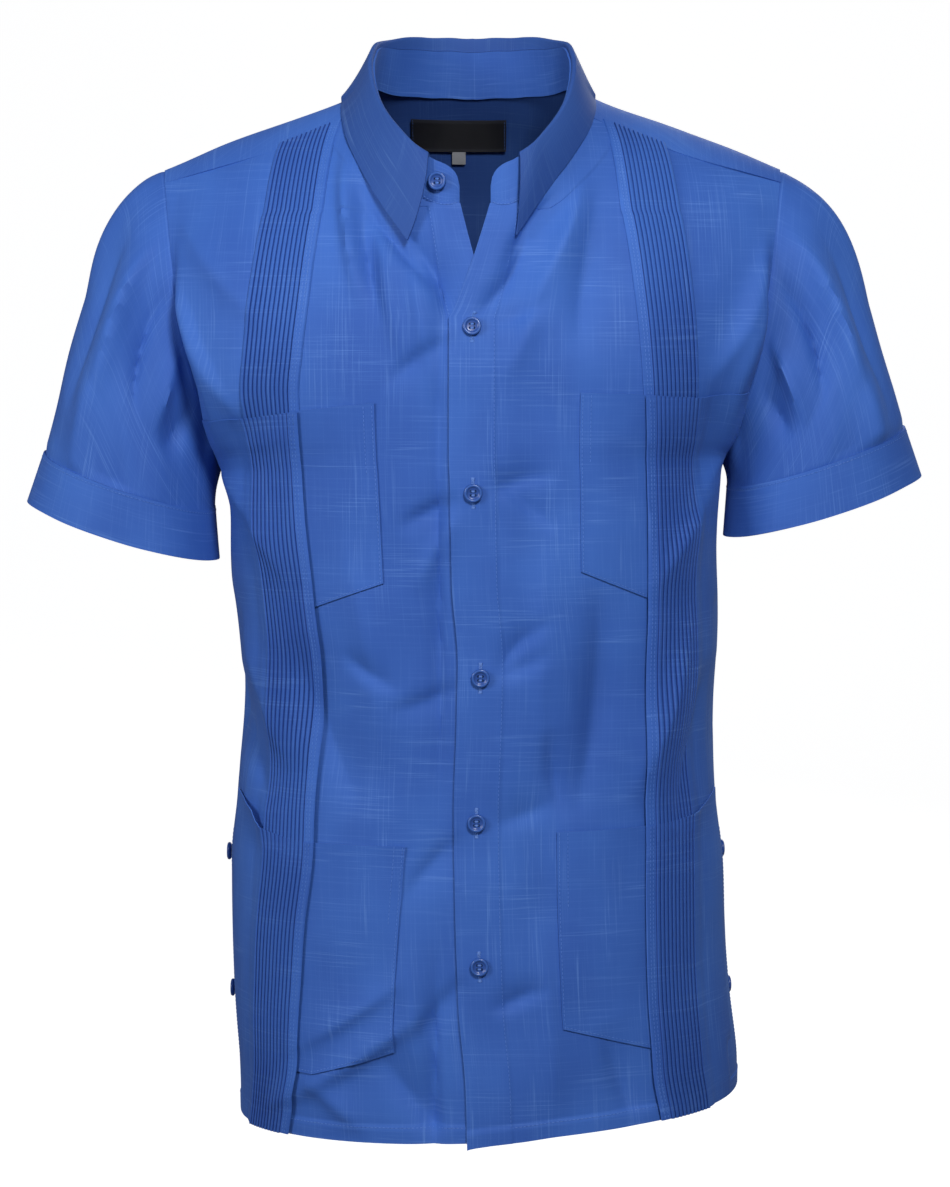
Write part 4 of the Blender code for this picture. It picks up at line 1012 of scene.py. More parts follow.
# %% Pockets
Pocket = namedtuple("Pocket", "name side top inner bottom_in foot outer lower_end gape")
POCKETS = (
    Pocket(
        "chest", "right", ((0.066, -0.2132), (0.120, -0.2187), (0.155, -0.2220), (0.206, -0.2225)),
        (0.0622, 0.0662), -0.3359, -0.3546, 0.206, "hip", 0.0010,
    ),
    Pocket(
        "chest", "left", ((0.073, -0.2065), (0.119, -0.2076), (0.157, -0.2088), (0.206, -0.2040)),
        (0.0726, 0.0735), -0.3281, -0.3458, 0.206, "hip", 0.0014,
    ),
    Pocket(
        "hip", "right", ((0.049, -0.5171), (0.117, -0.5171), (0.154, -0.5105), (0.1675, -0.4985),
                         (0.207, -0.4880)),
        (0.0627, 0.0489), -0.6597, -0.6774, 0.207, "hem", 0.0060,
    ),
    Pocket(
        "hip", "left", ((0.055, -0.5072), (0.120, -0.5061), (0.159, -0.5016), (0.192, -0.4928),
                        (0.207, -0.4890)),
        (0.0545, 0.0550), -0.6431, -0.6608, 0.207, "hem", 0.0022,
    ),
)
OVERLAY_LIFT = 0.0027
STEPS = np.concatenate([np.linspace(0, 0.03, 3), np.linspace(0.06, 0.97, 60), [0.985, 1]])[:, None]


def pocket_top(row, flats):
    return smooth_curve(*zip(*row.top), flats)


def mouth(row, flats, height):
    """How far the pocket's mouth stands open."""
    near = np.clip(1 - (pocket_top(row, flats) - height) / 0.030, 0, 1) ** 2.5
    return near * (0.0007 + row.gape * np.exp(-(((flats - 0.166) / 0.017) ** 2)))


def inner_half(row, flats, share):
    """(height, lift) of the plain half, share 0 at its slanted foot and 1 at its top."""
    start = row.inner[0]
    low = between(row.bottom_in, row.foot, np.clip((flats - start) / (BAND_FLAT - start), 0, 1.1))
    height = between(low, pocket_top(row, flats), share)
    return height, WALL + 0.0004 + mouth(row, flats, height)


def outer_end(row, flats):
    """The lower end of a tucked half: under the next pocket's top, or at the hem."""
    if row.lower_end == "hem":
        return np.full(np.shape(flats), HEM_HEIGHT + 0.0004)
    below = next(other for other in POCKETS if other.name == "hip" and other.side == row.side)
    return pocket_top(below, flats) - 0.012


def outer_half(row, across, share):
    """(flat, height, lift) of the tucked half. across is measured from the band's inner line."""
    nominal = BAND_FLAT + across
    height = between(outer_end(row, nominal), pocket_top(row, nominal), share)
    flats = band_inner(row.side, up_of(height)) + across
    flats = np.where(across > BAND_WIDTH, np.minimum(flats, row.outer + 0.004), flats)
    height = between(outer_end(row, flats), pocket_top(row, flats), share)
    past = eased((across - BAND_WIDTH) / 0.012)
    base = WALL + 0.0004 + OVERLAY_LIFT * (1 - past)
    side = eased((across - (row.outer - BAND_FLAT) + 0.014) / 0.010)
    below = eased((row.foot - height) / 0.02)
    return flats, height, base + mouth(row, flats, height) - 0.0022 * side * below


def pocket_pieces(row):
    start = between(*row.inner, STEPS)
    edge = band_inner(row.side, up_of(between(row.foot, row.top[1][1], STEPS))) + 0.0016
    flats = between(start, edge, np.concatenate([[0, 0.012], np.linspace(0.05, 1, 22)]))
    height, lift = inner_half(row, flats, STEPS)
    places, _ = front_at(row.side, flats, up_of(height), lift)
    seed = 4 + 2 * POCKETS.index(row)
    plain = cloth(f"cloth_{row.name}_pocket_{row.side}", places, flat_uv(flats, height, seed),
                  wall=0.0008, flip=row.side == "right")
    across, rise = band_profile()
    plain_part = BAND_WIDTH + np.linspace(0, row.outer - BAND_FLAT - BAND_WIDTH, 16)[1:]
    rise = np.concatenate([rise, np.zeros(15)]) * TUCK_RISE
    across = np.concatenate([across, plain_part])
    share = np.linspace(0, 1, 110)[:, None]
    flats, height, lift = outer_half(row, across[None, :], share)
    lift = lift + rise * (1 - 0.45 * np.clip(share - 0.90, 0, 1) * 10)
    places, _ = front_at(row.side, flats, up_of(height), lift)
    uv = flat_uv(np.broadcast_to(BAND_FLAT + across, height.shape), height, seed + 1)
    tucked = cloth(f"cloth_{row.name}_tucks_{row.side}", places, uv, wall=0.0006,
                   flip=row.side == "right", finish=banded)
    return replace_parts(plain, f"{row.name}_pocket_{row.side}"), tucked


POCKET_PIECES = [pocket_pieces(row) for row in POCKETS]
print("pockets", [pair[0].name for pair in POCKET_PIECES])

# %% [markdown]
# ## Back and yoke
#
# The back is one plain panel up to the yoke. The yoke goes over both shoulders and is what the
# neck label is sewn to. It laps over the fronts and the back by a few millimetres, and
# that lap is the crisp line seen along each seam.


# %% Back
BACK_LEVELS = np.linspace(HEM_HEIGHT, YOKE_BACK_HEIGHT + 0.004, 160)
BACK_EDGE = np.array([outer_flat(BACK, height) for height in BACK_LEVELS])
SEAM_ALLOWANCE = 0.0045  # the back's edge, which runs on behind the front at the side seam
ALLOWANCE_DEPTH = 0.0018  # how far inside the front it lies
FREE_EDGE = 0.0003  # what is left of it at the vents and the armholes


def back_at(flat, height, lift=0.0):
    step = 0.0006
    place = BACK.points(flat, height)
    across = BACK.points(flat + step, height) - BACK.points(flat - step, height)
    rise = BACK.points(flat, height + step) - BACK.points(flat, height - step)
    out = -unit(np.cross(across, rise))
    x, z = place[..., 0], place[..., 2]
    fold = creased(BACK_FOLDS, x, z) + slack(x, z, 1.9)
    outer = np.interp(height, BACK_LEVELS, BACK_EDGE)
    calm = eased((outer - np.abs(flat)) / 0.014) * eased((YOKE_BACK_HEIGHT - height) / 0.02)
    return place + out * (fold * calm + lift)[..., None], out


above_hem = np.linspace(HEM_HEIGHT + HEM_STOPS[-1], YOKE_BACK_HEIGHT + 0.002, 190)[1:]
heights = np.concatenate([HEM_HEIGHT + HEM_STOPS, above_hem])
outers = np.array([outer_flat(BACK, height) for height in heights])
shares = np.concatenate([[-1], np.linspace(-1, 1, 141), [1]])
flats = shares[None, :] * outers[:, None]
levels = np.broadcast_to(heights[:, None], flats.shape)
drawn = HEM_RISE["left"][1] * np.clip(flats / outers[:, None], 0, 1) ** HEM_BEND["left"]
risen = levels + drawn * eased((HEM_FADE - levels) / (HEM_FADE - HEM_HEIGHT))
places, _ = back_at(flats, risen, hem_step(levels))
sewn_rows = (heights > VENT_TOP) & (heights < ARMPIT_HEIGHT)
reach = np.where(sewn_rows, SEAM_ALLOWANCE, FREE_EDGE)
for column, sign in ((0, -1), (-1, 1)):
    inward = -sign * np.where(sewn_rows, ALLOWANCE_DEPTH, 0)
    places[:, column] += np.stack([inward, -reach, 0 * reach], axis=-1)
    flats[:, column] += sign * reach
# The back's inner faces get painted shade, for the dark inside of the shirt.
back_cloth = cloth("cloth_back", places, flat_uv(flats, levels, 9), flip=True, finish=back_finish_with_painted_shade)
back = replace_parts(mark_inside(back_cloth, places[..., 0].size), "back")
print("back", round(2 * float(outers[0]) * 1000), "mm wide at the hem")


# %% [markdown]
# ## Yoke
#
# The yoke is one piece over both shoulders, from its seams on the chest to the seam across the
# back. It bends over the ridge of the shoulder, where height is no use as a measure, so its
# rows turn about the ridge instead. Its inner faces are painted darker, as the shade inside
# the shirt makes them look.

# %% Yoke
def ridge_point(x, turn):
    """A place on the form near the ridge. turn is 0 on the ridge and 1 at the chest behind."""
    x, turn = np.broadcast_arrays(np.asarray(x, float), np.asarray(turn, float))
    fall = 1 - np.cos(np.abs(turn) * math.pi / 2) ** (2 / SHOULDER_ROUNDNESS)
    ridge = from_table(RIDGE, "height", np.abs(x))
    height = ridge - fall * (ridge - CHEST_HEIGHT)
    y = np.where(turn < 0, form_y(x, height, -1), form_y(x, height, 1))
    return np.stack([x, y, height], axis=-1)


def ridge_turn(x, height, facing):
    ridge = from_table(RIDGE, "height", np.abs(x))
    fall = np.clip((ridge - height) / (ridge - CHEST_HEIGHT), 0, 1)
    return facing * np.arccos((1 - fall) ** (SHOULDER_ROUNDNESS / 2)) / (math.pi / 2)


def yoke_line(x, front, facing, back_x, share, lap):
    """One line of the yoke from the back seam to a front's seam or the neckline."""
    back_edge = armhole_x(YOKE_BACK_HEIGHT, 1)
    rows = between(-0.02, 1.0 + lap, np.linspace(0, 1, 56))
    turns = between(
        float(ridge_turn(back_x, YOKE_BACK_HEIGHT, 1)), float(ridge_turn(x, front, facing)), rows
    )
    armhole = between(back_edge, armhole_x(YOKE_ARMHOLE_HEIGHT, -1), rows)
    edge = armhole
    for _ in range(4):
        edge = from_table(ARMHOLE, "back_x", ridge_point(edge, turns)[:, 2])
    bulge = share * np.maximum(edge - armhole, 0) * np.sin(math.pi * np.clip(rows, 0, 1)) ** 0.5
    return ridge_point(between(back_x, x, rows) + bulge, turns)


seam_flats = np.linspace(float(row_value("right", 2.0, 0)), float(row_value("right", 2.0, 2)), 48)
seam = front_form("right", seam_flats, 2.0) * np.array([-1, 1, 1])
back_edge = armhole_x(YOKE_BACK_HEIGHT, 1)
half = []
for x, _, front in seam[::-1]:
    share = (x - seam[0][0]) / (seam[-1][0] - seam[0][0])
    half.append(yoke_line(x, front, -1, back_edge * between(0.42, 1.0, share), share, 0.022))
for share in np.linspace(1, 0, 44)[1:]:
    x, y, front = neck_point(YOKE_SEAM_TURN * share)
    half.append(yoke_line(x, front, -1 if y < RIDGE_Y else 1, back_edge * 0.42 * share, 0.0, 0.0))
half = np.array(half)
places = np.concatenate([half, half[:-1][::-1] * np.array([-1, 1, 1])]).transpose(1, 0, 2)
out = unit(np.cross(np.gradient(places, axis=1), np.gradient(places, axis=0)))
out = out * np.where(np.mean(out[..., 2]) > 0, 1, -1)
ease = slack(places[..., 0] * 1.2, places[..., 1] - places[..., 2], 3.3) * 0.8
places = places + out * (0.0007 + ease)[..., None]
along = np.cumsum(np.linalg.norm(np.diff(places, axis=0, prepend=places[:1]), axis=-1), axis=0)
yoke = cloth("cloth_yoke", places, flat_uv(places[..., 0], along, 11), finish=yoke_finish_with_painted_shade)
mark_inside(yoke, places[..., 0].size)
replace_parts(yoke, "yoke")
print("yoke", places.shape)

# %% [markdown]
# ## Sleeves
#
# Each sleeve is a short tube. It leaves the armhole along the slope of the shoulder and bends
# down to an opening that slants by 17 degrees, and a cuff 36 mm deep goes round it. Every line
# down the tube is one smooth cubic curve between those two directions. The head of the sleeve starts
# just under the armhole's edge, so the seam has a shadow and no gap.

# %% Sleeves
SleeveRow = namedtuple("SleeveRow", "cuff_x cuff_y cuff_height half_across half_depth")
SLEEVE = {
    "right": SleeveRow(0.2495, -0.004, -0.3050, 0.0700, 0.0590),
    "left": SleeveRow(0.2502, -0.004, -0.2877, 0.0724, 0.0590),
}
CUFF_SLANT = math.radians(17.4)
CUFF_FRONT_DROP = 0.006
CUFF_WIDTH = 0.036
ARMPIT_CLEARANCE = 0.0030
SleeveFlow = namedtuple("SleeveFlow", "outward down reach")
LEAVES_ARMHOLE = {"top": SleeveFlow(0.93, -0.37, 0.175), "underarm": SleeveFlow(0.50, -0.87, 0.035)}
ENTERS_CUFF = {"top": SleeveFlow(0.30, -0.954, 0.230), "underarm": SleeveFlow(-0.10, -1.0, 0.040)}


def armhole_half(facing):
    """The armhole's edge from the top of the shoulder to the armpit."""
    top = float(from_table(RIDGE, "height", ARMHOLE[-1].front_x))
    levels = between(top, ARMPIT_HEIGHT, np.linspace(0, 1, 200) ** 2)
    x = from_table(ARMHOLE, "front_x" if facing < 0 else "back_x", levels)
    x = np.minimum(x, from_table(TORSO, "half_width", levels))
    line = np.stack([x, form_y(x, levels, facing), levels], axis=-1)
    along = np.concatenate([[0], np.cumsum(np.linalg.norm(np.diff(line, axis=0), axis=1))])
    return line, along / along[-1]


ARMHOLE_HALVES = {facing: armhole_half(facing) for facing in (-1, 1)}


def armhole_place(share):
    """A place on the left armhole. 0 is the top, 0.25 the front, 0.5 the armpit."""
    made = []
    for facing, at in ((-1, 2 * share), (1, 2 * (1 - share))):
        line, along = ARMHOLE_HALVES[facing]
        made.append(np.stack([np.interp(at, along, line[:, k]) for k in range(3)], axis=-1))
    return np.where((share <= 0.5)[..., None], *made)


def flow(table, share):
    under = (1 - np.cos(2 * math.pi * share)) / 2
    top, low = table["top"], table["underarm"]
    outward, down = between(top.outward, low.outward, under), between(top.down, low.down, under)
    return unit(np.stack([outward, 0 * under, down], axis=-1)), between(top.reach, low.reach, under)


def cuff_place(side, share, up):
    """A place on a cuff, up metres above its lower edge, on the wearer's left."""
    row, turn = SLEEVE[side], 2 * math.pi * share
    across = np.array([math.cos(CUFF_SLANT), 0, math.sin(CUFF_SLANT)])
    edge = np.array([row.cuff_x, row.cuff_y, row.cuff_height])
    edge = edge + across * (row.half_across * np.cos(turn))[..., None]
    edge = edge - np.array([0, row.half_depth, CUFF_FRONT_DROP]) * np.sin(turn)[..., None]
    return edge - flow(ENTERS_CUFF, share)[0] * np.asarray(up, float)[..., None]


def sleeve_place(side, share, down):
    """A place on a sleeve, down 0 at the armhole and 1 at the cuff, on the wearer's left."""
    leave, leave_reach = flow(LEAVES_ARMHOLE, share)
    under = (1 - np.cos(2 * math.pi * share)) / 2
    start = armhole_place(share) - leave * 0.0022
    start[..., 0] += ARMPIT_CLEARANCE * under * 0.6
    end = cuff_place(side, share, np.full(np.shape(share), CUFF_WIDTH - 0.004))
    enter, enter_reach = flow(ENTERS_CUFF, share)
    t = np.asarray(down, float)[..., None]
    return (
        start * (1 + 2 * t) * (1 - t) ** 2
        + end * t * t * (3 - 2 * t)
        + leave * leave_reach[..., None] * t * (1 - t) ** 2
        - enter * enter_reach[..., None] * t * t * (1 - t)
    )


def ring_out(places, flip):
    """Directions out of a tube whose first and last columns meet."""
    wrapped = np.concatenate([places[:, -2:-1], places, places[:, 1:2]], axis=1)
    across = (wrapped[:, 2:] - wrapped[:, :-2]) / 2
    return unit(np.cross(across, np.gradient(places, axis=0))) * (-1 if flip else 1)


ARMHOLE_ROUND = 0.44


def sleeve_piece(side):
    flip = side == "left"
    share, down = grid_of(np.linspace(0, 1, 133), np.linspace(1, 0, 82))
    mirror = np.array([SIDE_SIGN[side], 1, 1])
    places = sleeve_place(side, share, down) * mirror
    out = ring_out(places, flip)
    steps = np.linalg.norm(np.diff(places[::-1], axis=0, prepend=places[-1:]), axis=-1)
    along = np.cumsum(steps, axis=0)[::-1]
    signed = np.where(share <= 0.5, share, share - 1) * ARMHOLE_ROUND
    other = 1 if side == "left" else 0.93
    fold = creased(SLEEVE_FOLDS, signed * other, along / other)
    fold = fold + slack(signed * 2, along, 5.0 + flip)
    calm = eased(along / 0.016) * eased((1 - down) / 0.07)
    hidden = 0.0011 * (1 - eased(along / 0.006)) + 0.0012 * eased((down - 0.95) / 0.04)
    places = places + out * (fold * calm - hidden)[..., None]
    places[:, -1] = places[:, 0]
    piece = cloth(f"cloth_sleeve_{side}", places, flat_uv(share * ARMHOLE_ROUND, along, 13 + flip),
                  flip=flip, closed=True)
    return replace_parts(piece, f"sleeve_{side}")


SLEEVES = [sleeve_piece(side) for side in SIDE_SIGN]
print("sleeves", [piece.name for piece in SLEEVES])


# %% [markdown]
# ## Sleeve hems
#
# The sleeve's hem is a band turned up and sewn along its top. Here it is a ring of its own
# round the open end of the sleeve, closed where its ends meet. A slight wave grows towards its
# lower edge, because two layers never lie quite flat.

# %% Cuffs
def cuff_at(side, share, up, lift=0.0):
    """Places on a cuff with a slight, uneven flare, and the directions out."""
    flip = side == "left"
    places = cuff_place(side, share, up) * np.array([SIDE_SIGN[side], 1, 1])
    centre = np.array([SLEEVE[side].cuff_x * SIDE_SIGN[side], SLEEVE[side].cuff_y, 0])
    out = unit((places - centre) * np.array([1, 1, 0]))
    wave = 0.0009 * np.sin(2 * math.pi * share * 3 + 0.8 + flip)
    wave = wave + 0.0006 * np.sin(14 * math.pi * share)
    return places + out * (wave * (1 - up / CUFF_WIDTH) + lift)[..., None], out


def cuff_piece(side):
    stops = np.concatenate([[0, 0.0005], np.linspace(0.003, CUFF_WIDTH - 0.0005, 12), [CUFF_WIDTH]])
    share, up = grid_of(np.linspace(0, 1, 133), stops)
    places, _ = cuff_at(side, share, up, 0.0001)
    places[:, -1] = places[:, 0]
    piece = cloth(f"cloth_cuff_{side}", places, flat_uv(share * 0.41, up, 15 + (side == "left")),
                  wall=0.0016, flip=side == "left", closed=True)
    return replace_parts(piece, f"cuff_{side}")


CUFFS = [cuff_piece(side) for side in SIDE_SIGN]
print("cuffs", [piece.name for piece in CUFFS])

# %% [markdown]
# ## Collar
#
# A shirt collar is two parts. The stand is a stiffened strip sewn round the neckline, and the
# leaf is sewn to its top, rolls over and falls outside it to two points. Because the shirt is
# worn open, the roll spreads forwards and the stand's two ends face each other across the gap.
# The roll is drawn as a small arc, as a crease that is pressed but not sharp.

# %% Stand
StandRow = namedtuple("StandRow", "turn height lean leaf_rise")
STAND = (
    StandRow(0, 0.0315, 0.0060, 0.0100),
    StandRow(40, 0.0312, 0.0055, 0.0092),
    StandRow(75, 0.0278, 0.0045, 0.0036),
    StandRow(115, 0.0245, 0.0030, 0.0040),
    StandRow(150, 0.0280, 0.0015, 0.0045),
    StandRow(168.5, 0.0305, 0.0005, 0.0028),
    StandRow(193, 0.0285, 0.0000, 0.0028),
)
STAND_END = math.degrees(NECK_FRONT_TURN)
STAND_ROUNDING = 17.0
LEAF_TURN = 168.5


def open_neck(side, turn):
    """A point of the open neckline."""
    x, y, height = neck_point(turn)
    flat = math.copysign(FRONT.flat_at(abs(x), height), x) if turn > math.pi / 2 else 0.2
    x += float(opened(side, flat, height))
    lift = FRONT_LIFT[side] * (1 - float(eased((flat - OVERLAP - 0.003) / 0.030)))
    return SIDE_SIGN[side] * x, y - lift, height


NECK_TURNS = np.linspace(-STAND_END, STAND_END, 193)
NECK_LINE = np.array(
    [open_neck("right" if turn < 0 else "left", math.radians(abs(turn))) for turn in NECK_TURNS]
)


def neck_place(turn):
    return np.stack([np.interp(turn, NECK_TURNS, NECK_LINE[:, k]) for k in range(3)], axis=-1)


def bearing(turn):
    """The level direction away from the neck."""
    angle = np.radians(turn)
    return np.stack([np.sin(angle), np.cos(angle), 0 * angle], axis=-1)


def stand_place(turn, share):
    """A place on the stand, share 0 at the neckline and 1 at its top edge."""
    turn, share = np.broadcast_arrays(np.asarray(turn, float), np.asarray(share, float))
    size = np.abs(turn)
    near = np.clip((size - STAND_END + STAND_ROUNDING) / STAND_ROUNDING, 0, 1)
    top = from_table(STAND, "height", size) * (1 - 0.75 * (1 - np.sqrt(1 - near * near)))
    inward = -bearing(turn) * (from_table(STAND, "lean", size) * share)[..., None]
    rise = np.stack([0 * share, 0 * share, 0.0012 + top * share], axis=-1)
    return neck_place(turn) + inward + rise


stand_turns = np.linspace(-STAND_END + 0.2, STAND_END - 0.2, 211)
turn, share = grid_of(stand_turns, np.linspace(-0.06, 1, 15))
places = stand_place(turn, share)
NECK_RADIUS = 0.078
stand_flat = flat_uv(np.radians(turn) * NECK_RADIUS, share * 0.03, 17)
stand = cloth("cloth_collar_stand", places, stand_flat, wall=0.0013)
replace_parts(stand, "collar_stand")
print("stand", places.shape)

# %% [markdown]
# ## Collar leaf
#
# The leaf is sewn to the top of the stand, rises a little, rolls over and falls to the
# shoulders. Every section is drawn in that order: a rise, a small round roll, and a curve that
# leaves the roll steeply and lands on the edge. The edge's own table gives the two points. Its
# finish carries painted shade, which makes it darker than the fronts'.

# %% Leaf
LeafRow = namedtuple("LeafRow", "turn right_x left_x y right_height left_height")
LEAF_EDGE = (
    LeafRow(0, 0.0000, 0.0000, 0.0840, 0.003, 0.003),
    LeafRow(14, 0.0225, 0.0220, 0.0825, 0.003, 0.003),
    LeafRow(45, 0.0670, 0.0650, 0.055, 0.003, 0.003),
    LeafRow(75, 0.0890, 0.0845, 0.013, 0.005, 0.006),
    LeafRow(95, 0.0930, 0.0875, -0.017, 0.001, 0.003),
    LeafRow(104, 0.0925, 0.0875, -0.030, -0.008, -0.005),
    LeafRow(115, 0.0885, 0.0845, -0.045, -0.027, -0.018),
    LeafRow(135, 0.0755, 0.0700, -0.060, -0.0555, -0.0435),
    LeafRow(155, 0.0605, 0.0530, -0.075, -0.0805, -0.0670),
    LeafRow(LEAF_TURN, 0.0440, 0.0305, -0.085, -0.1035, -0.1000),
)
LEAF_CLEARANCE = 0.0050
ROLL = 0.0019


def leaf_edge(turn):
    """Places on the leaf's lower edge."""
    size, left = np.abs(turn), turn >= 0
    table = {name: from_table(LEAF_EDGE, name, size) for name in LeafRow._fields[1:]}
    x = np.where(left, table["left_x"], table["right_x"])
    height = np.where(left, table["left_height"], table["right_height"])
    chest = form_y(x, height, -1) - WALL - LEAF_CLEARANCE
    y = between(table["y"], chest, eased((size - 80) / 30))
    return np.stack([np.where(left, x, -x), y, height], axis=-1)


def leaf_rows(turn):
    """The leaf's section at every turn, from its sewn edge over the roll to its free edge."""
    up = np.array([0, 0, 1.0])
    away = bearing(turn)
    top = stand_place(turn, 1) + up * 0.0002
    rise = from_table(STAND, "leaf_rise", np.abs(turn))[:, None]
    shoulder = top + up * (rise - ROLL)
    rows = [between(top, shoulder, share) for share in np.linspace(0, 1, 4)[:-1]]
    lean = between(0.45, 0.26, eased((np.abs(turn) - 110) / 50))
    for share in np.linspace(0, 1, 9):
        angle = ((math.pi - lean) * share)[:, None]
        rows.append(shoulder + away * ROLL * (1 - np.cos(angle)) + up * ROLL * np.sin(angle))
    start, edge = rows[-1], leaf_edge(turn)
    length = np.linalg.norm(edge - start, axis=-1, keepdims=True)
    leave = (away * np.sin(lean)[:, None] - up * np.cos(lean)[:, None]) * length
    knee = start + leave * 0.5
    for t in np.linspace(0, 1, 27)[1:]:
        rows.append(start * (1 - t) ** 2 + knee * 2 * t * (1 - t) + edge * t * t)
    return np.array(rows)[::-1]


turn = np.linspace(-LEAF_TURN, LEAF_TURN, 201)
places = leaf_rows(turn)
along = np.cumsum(np.linalg.norm(np.diff(places, axis=0, prepend=places[:1]), axis=-1), axis=0)
leaf_flat = flat_uv(np.broadcast_to(np.radians(turn) * 0.082, along.shape), along, 18)
leaf = cloth("cloth_collar_leaf", places, leaf_flat, wall=0.0013, finish=collar_finish_with_painted_shade)
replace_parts(leaf, "collar_leaf")
print("leaf", places.shape)

# %% [markdown]
# ## Side vents
#
# The side seams are open for the last 21 cm. Behind each slit lies a narrow strip, which
# keeps the slit closed to the eye. Two buttons sit on the back panel beside it.


# %% Vents
def vent_strip(side):
    sign = SIDE_SIGN[side]
    rows = []
    for height in np.linspace(HEM_HEIGHT + HEM_RISE[side][1] + 0.004, VENT_TOP, 60):
        front_side, back_side = FRONT.side_at(height), BACK.side_at(height)
        level = np.full(7, height)
        line = np.concatenate([
            FRONT.points(sign * (front_side - np.linspace(0.016, 0.002, 7)), level),
            BACK.points(sign * (back_side - np.linspace(0.001, 0.010, 7)), level),
        ])
        middle = np.array([float(from_table(TORSO, "centre_x", height)), 0, height])
        rows.append(middle + (line - middle) * np.array([0.984, 0.984, 1]))
    places = np.array(rows)
    uv = flat_uv(np.linspace(0, 0.026, 14)[None, :], places[..., 2], 19)
    piece = cloth(f"cloth_vent_strip_{side}", places, uv, flip=side == "right")
    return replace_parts(piece, f"vent_strip_{side}")


STRIPS = [vent_strip(side) for side in SIDE_SIGN]
print("strips", [piece.name for piece in STRIPS])

# %% [markdown]
# ## Stitching
#
# A machine stitch is a short lens of thread that dips into the cloth at both ends. One lens is
# made, an Array modifier repeats it as often as a line needs, and each copy is then moved to
# its place on the cloth. Rows are about 3 mm a stitch along hems and edges. The same lens laid
# crosswise and close makes the satin bars of a buttonhole.

# %% Thread
thread = Paint("thread")
grain = thread.node("ShaderNodeTexNoise", {"Scale": 2600.0, "Detail": 2.0})
thread.link("Base Color", thread.mix(grain, (0.045, 0.140, 0.500, 1), (0.115, 0.255, 0.660, 1)))
twist = thread.node("ShaderNodeBump", {"Strength": 0.3, "Distance": 0.0001, "Height": grain})
thread.link("Normal", twist)
thread.set(Roughness=0.5)
print("finish", thread.material.name)

STITCH = namedtuple("Stitch", "pitch length thick lift")(0.0029, 0.0022, 0.00021, 0.00006)


def lenses(name, centres, along, out, length, thick):
    """One joined mesh of stitches: the same lens at every centre, turned along its line."""
    bm = bmesh.new()
    bmesh.ops.create_uvsphere(bm, u_segments=6, v_segments=3, radius=1)
    mesh = bpy.data.meshes.new(name)
    bm.to_mesh(mesh)
    bm.free()
    base = np.array([vert.co[:] for vert in mesh.vertices])
    obj = bpy.data.objects.new(name, mesh)
    scene.collection.objects.link(obj)
    mesh.materials.append(thread.material)
    copies = obj.modifiers.new("copies", "ARRAY")
    copies.count = len(centres)
    applied(obj)
    side = unit(np.cross(out, along))
    spots = (
        centres[:, None]
        + along[:, None] * (base[:, 2] * length / 2)[None, :, None]
        + side[:, None] * (base[:, 0] * thick)[None, :, None]
        + out[:, None] * (base[:, 1] * thick * 0.8)[None, :, None]
    )
    obj.data.vertices.foreach_set("co", spots.reshape(-1))
    obj.data.update()
    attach(obj, "root")
    return obj


def spaced(places, out, pitch, crosswise=False):
    """Even spots along a line on the cloth: centres, directions and the way out."""
    along = np.concatenate([[0], np.cumsum(np.linalg.norm(np.diff(places, axis=0), axis=1))])
    at = np.arange(pitch / 2, along[-1], pitch)
    centre = np.stack([np.interp(at, along, places[:, k]) for k in range(3)], axis=-1)
    way = np.stack([np.interp(at, along, np.gradient(places[:, k])) for k in range(3)], axis=-1)
    outs = unit(np.stack([np.interp(at, along, out[:, k]) for k in range(3)], axis=-1))
    way = unit(way)
    if crosswise:
        way = unit(np.cross(way, outs))
    return centre, way, outs


def sewn(
    name, lines, pitch=STITCH.pitch, length=STITCH.length, thick=STITCH.thick, crosswise=False
):
    spots = [spaced(places, out, pitch, crosswise) for places, out in lines]
    centre, way, outs = (np.concatenate([spot[k] for spot in spots]) for k in range(3))
    return lenses(name, centre + outs * STITCH.lift, way, outs, length, thick)


def rows_of(start, end, count=240):
    return np.linspace(start, end, count)


# %% [markdown]
# ## Rows on the fronts and pockets
#
# Each row follows the edge that it holds, at the distance a machine foot keeps. The places
# come from the same measure as the cloth, so a row bends with every crease that it crosses.

# %% Stitches on the fronts
FRONT_FACE = WALL + 0.0005


def front_stitches(side):
    ups = rows_of(0.004, 1.28)
    edge = row_value(side, ups, 0)
    lines = [front_at(side, edge + FACING_WIDTH - 0.0006, ups, FRONT_FACE)]
    hem = row_value(side, 0.0, 2)
    flats = rows_of(-OVERLAP + 0.001, float(hem) - 0.002)
    lines.append(front_at(side, flats, up_of(HEM_HEIGHT + HEM_TURN - 0.0008), WALL + 0.0006))
    ups = rows_of(float(up_of(-0.225)), 1.97)
    for across in (0.0026, 0.0050):
        lift = WALL + 0.0003 + 0.30 * TUCK_RISE + 0.0005
        lines.append(front_at(side, band_inner(side, ups) + across, ups, lift))
    vent = rows_of(0.004, float(up_of(VENT_TOP)), 120)
    lines.append(front_at(side, row_value(side, vent, 2) - 0.009, vent, WALL))
    return sewn(f"stitches_front_{side}", lines)


FRONT_STITCHES = [front_stitches(side) for side in SIDE_SIGN]


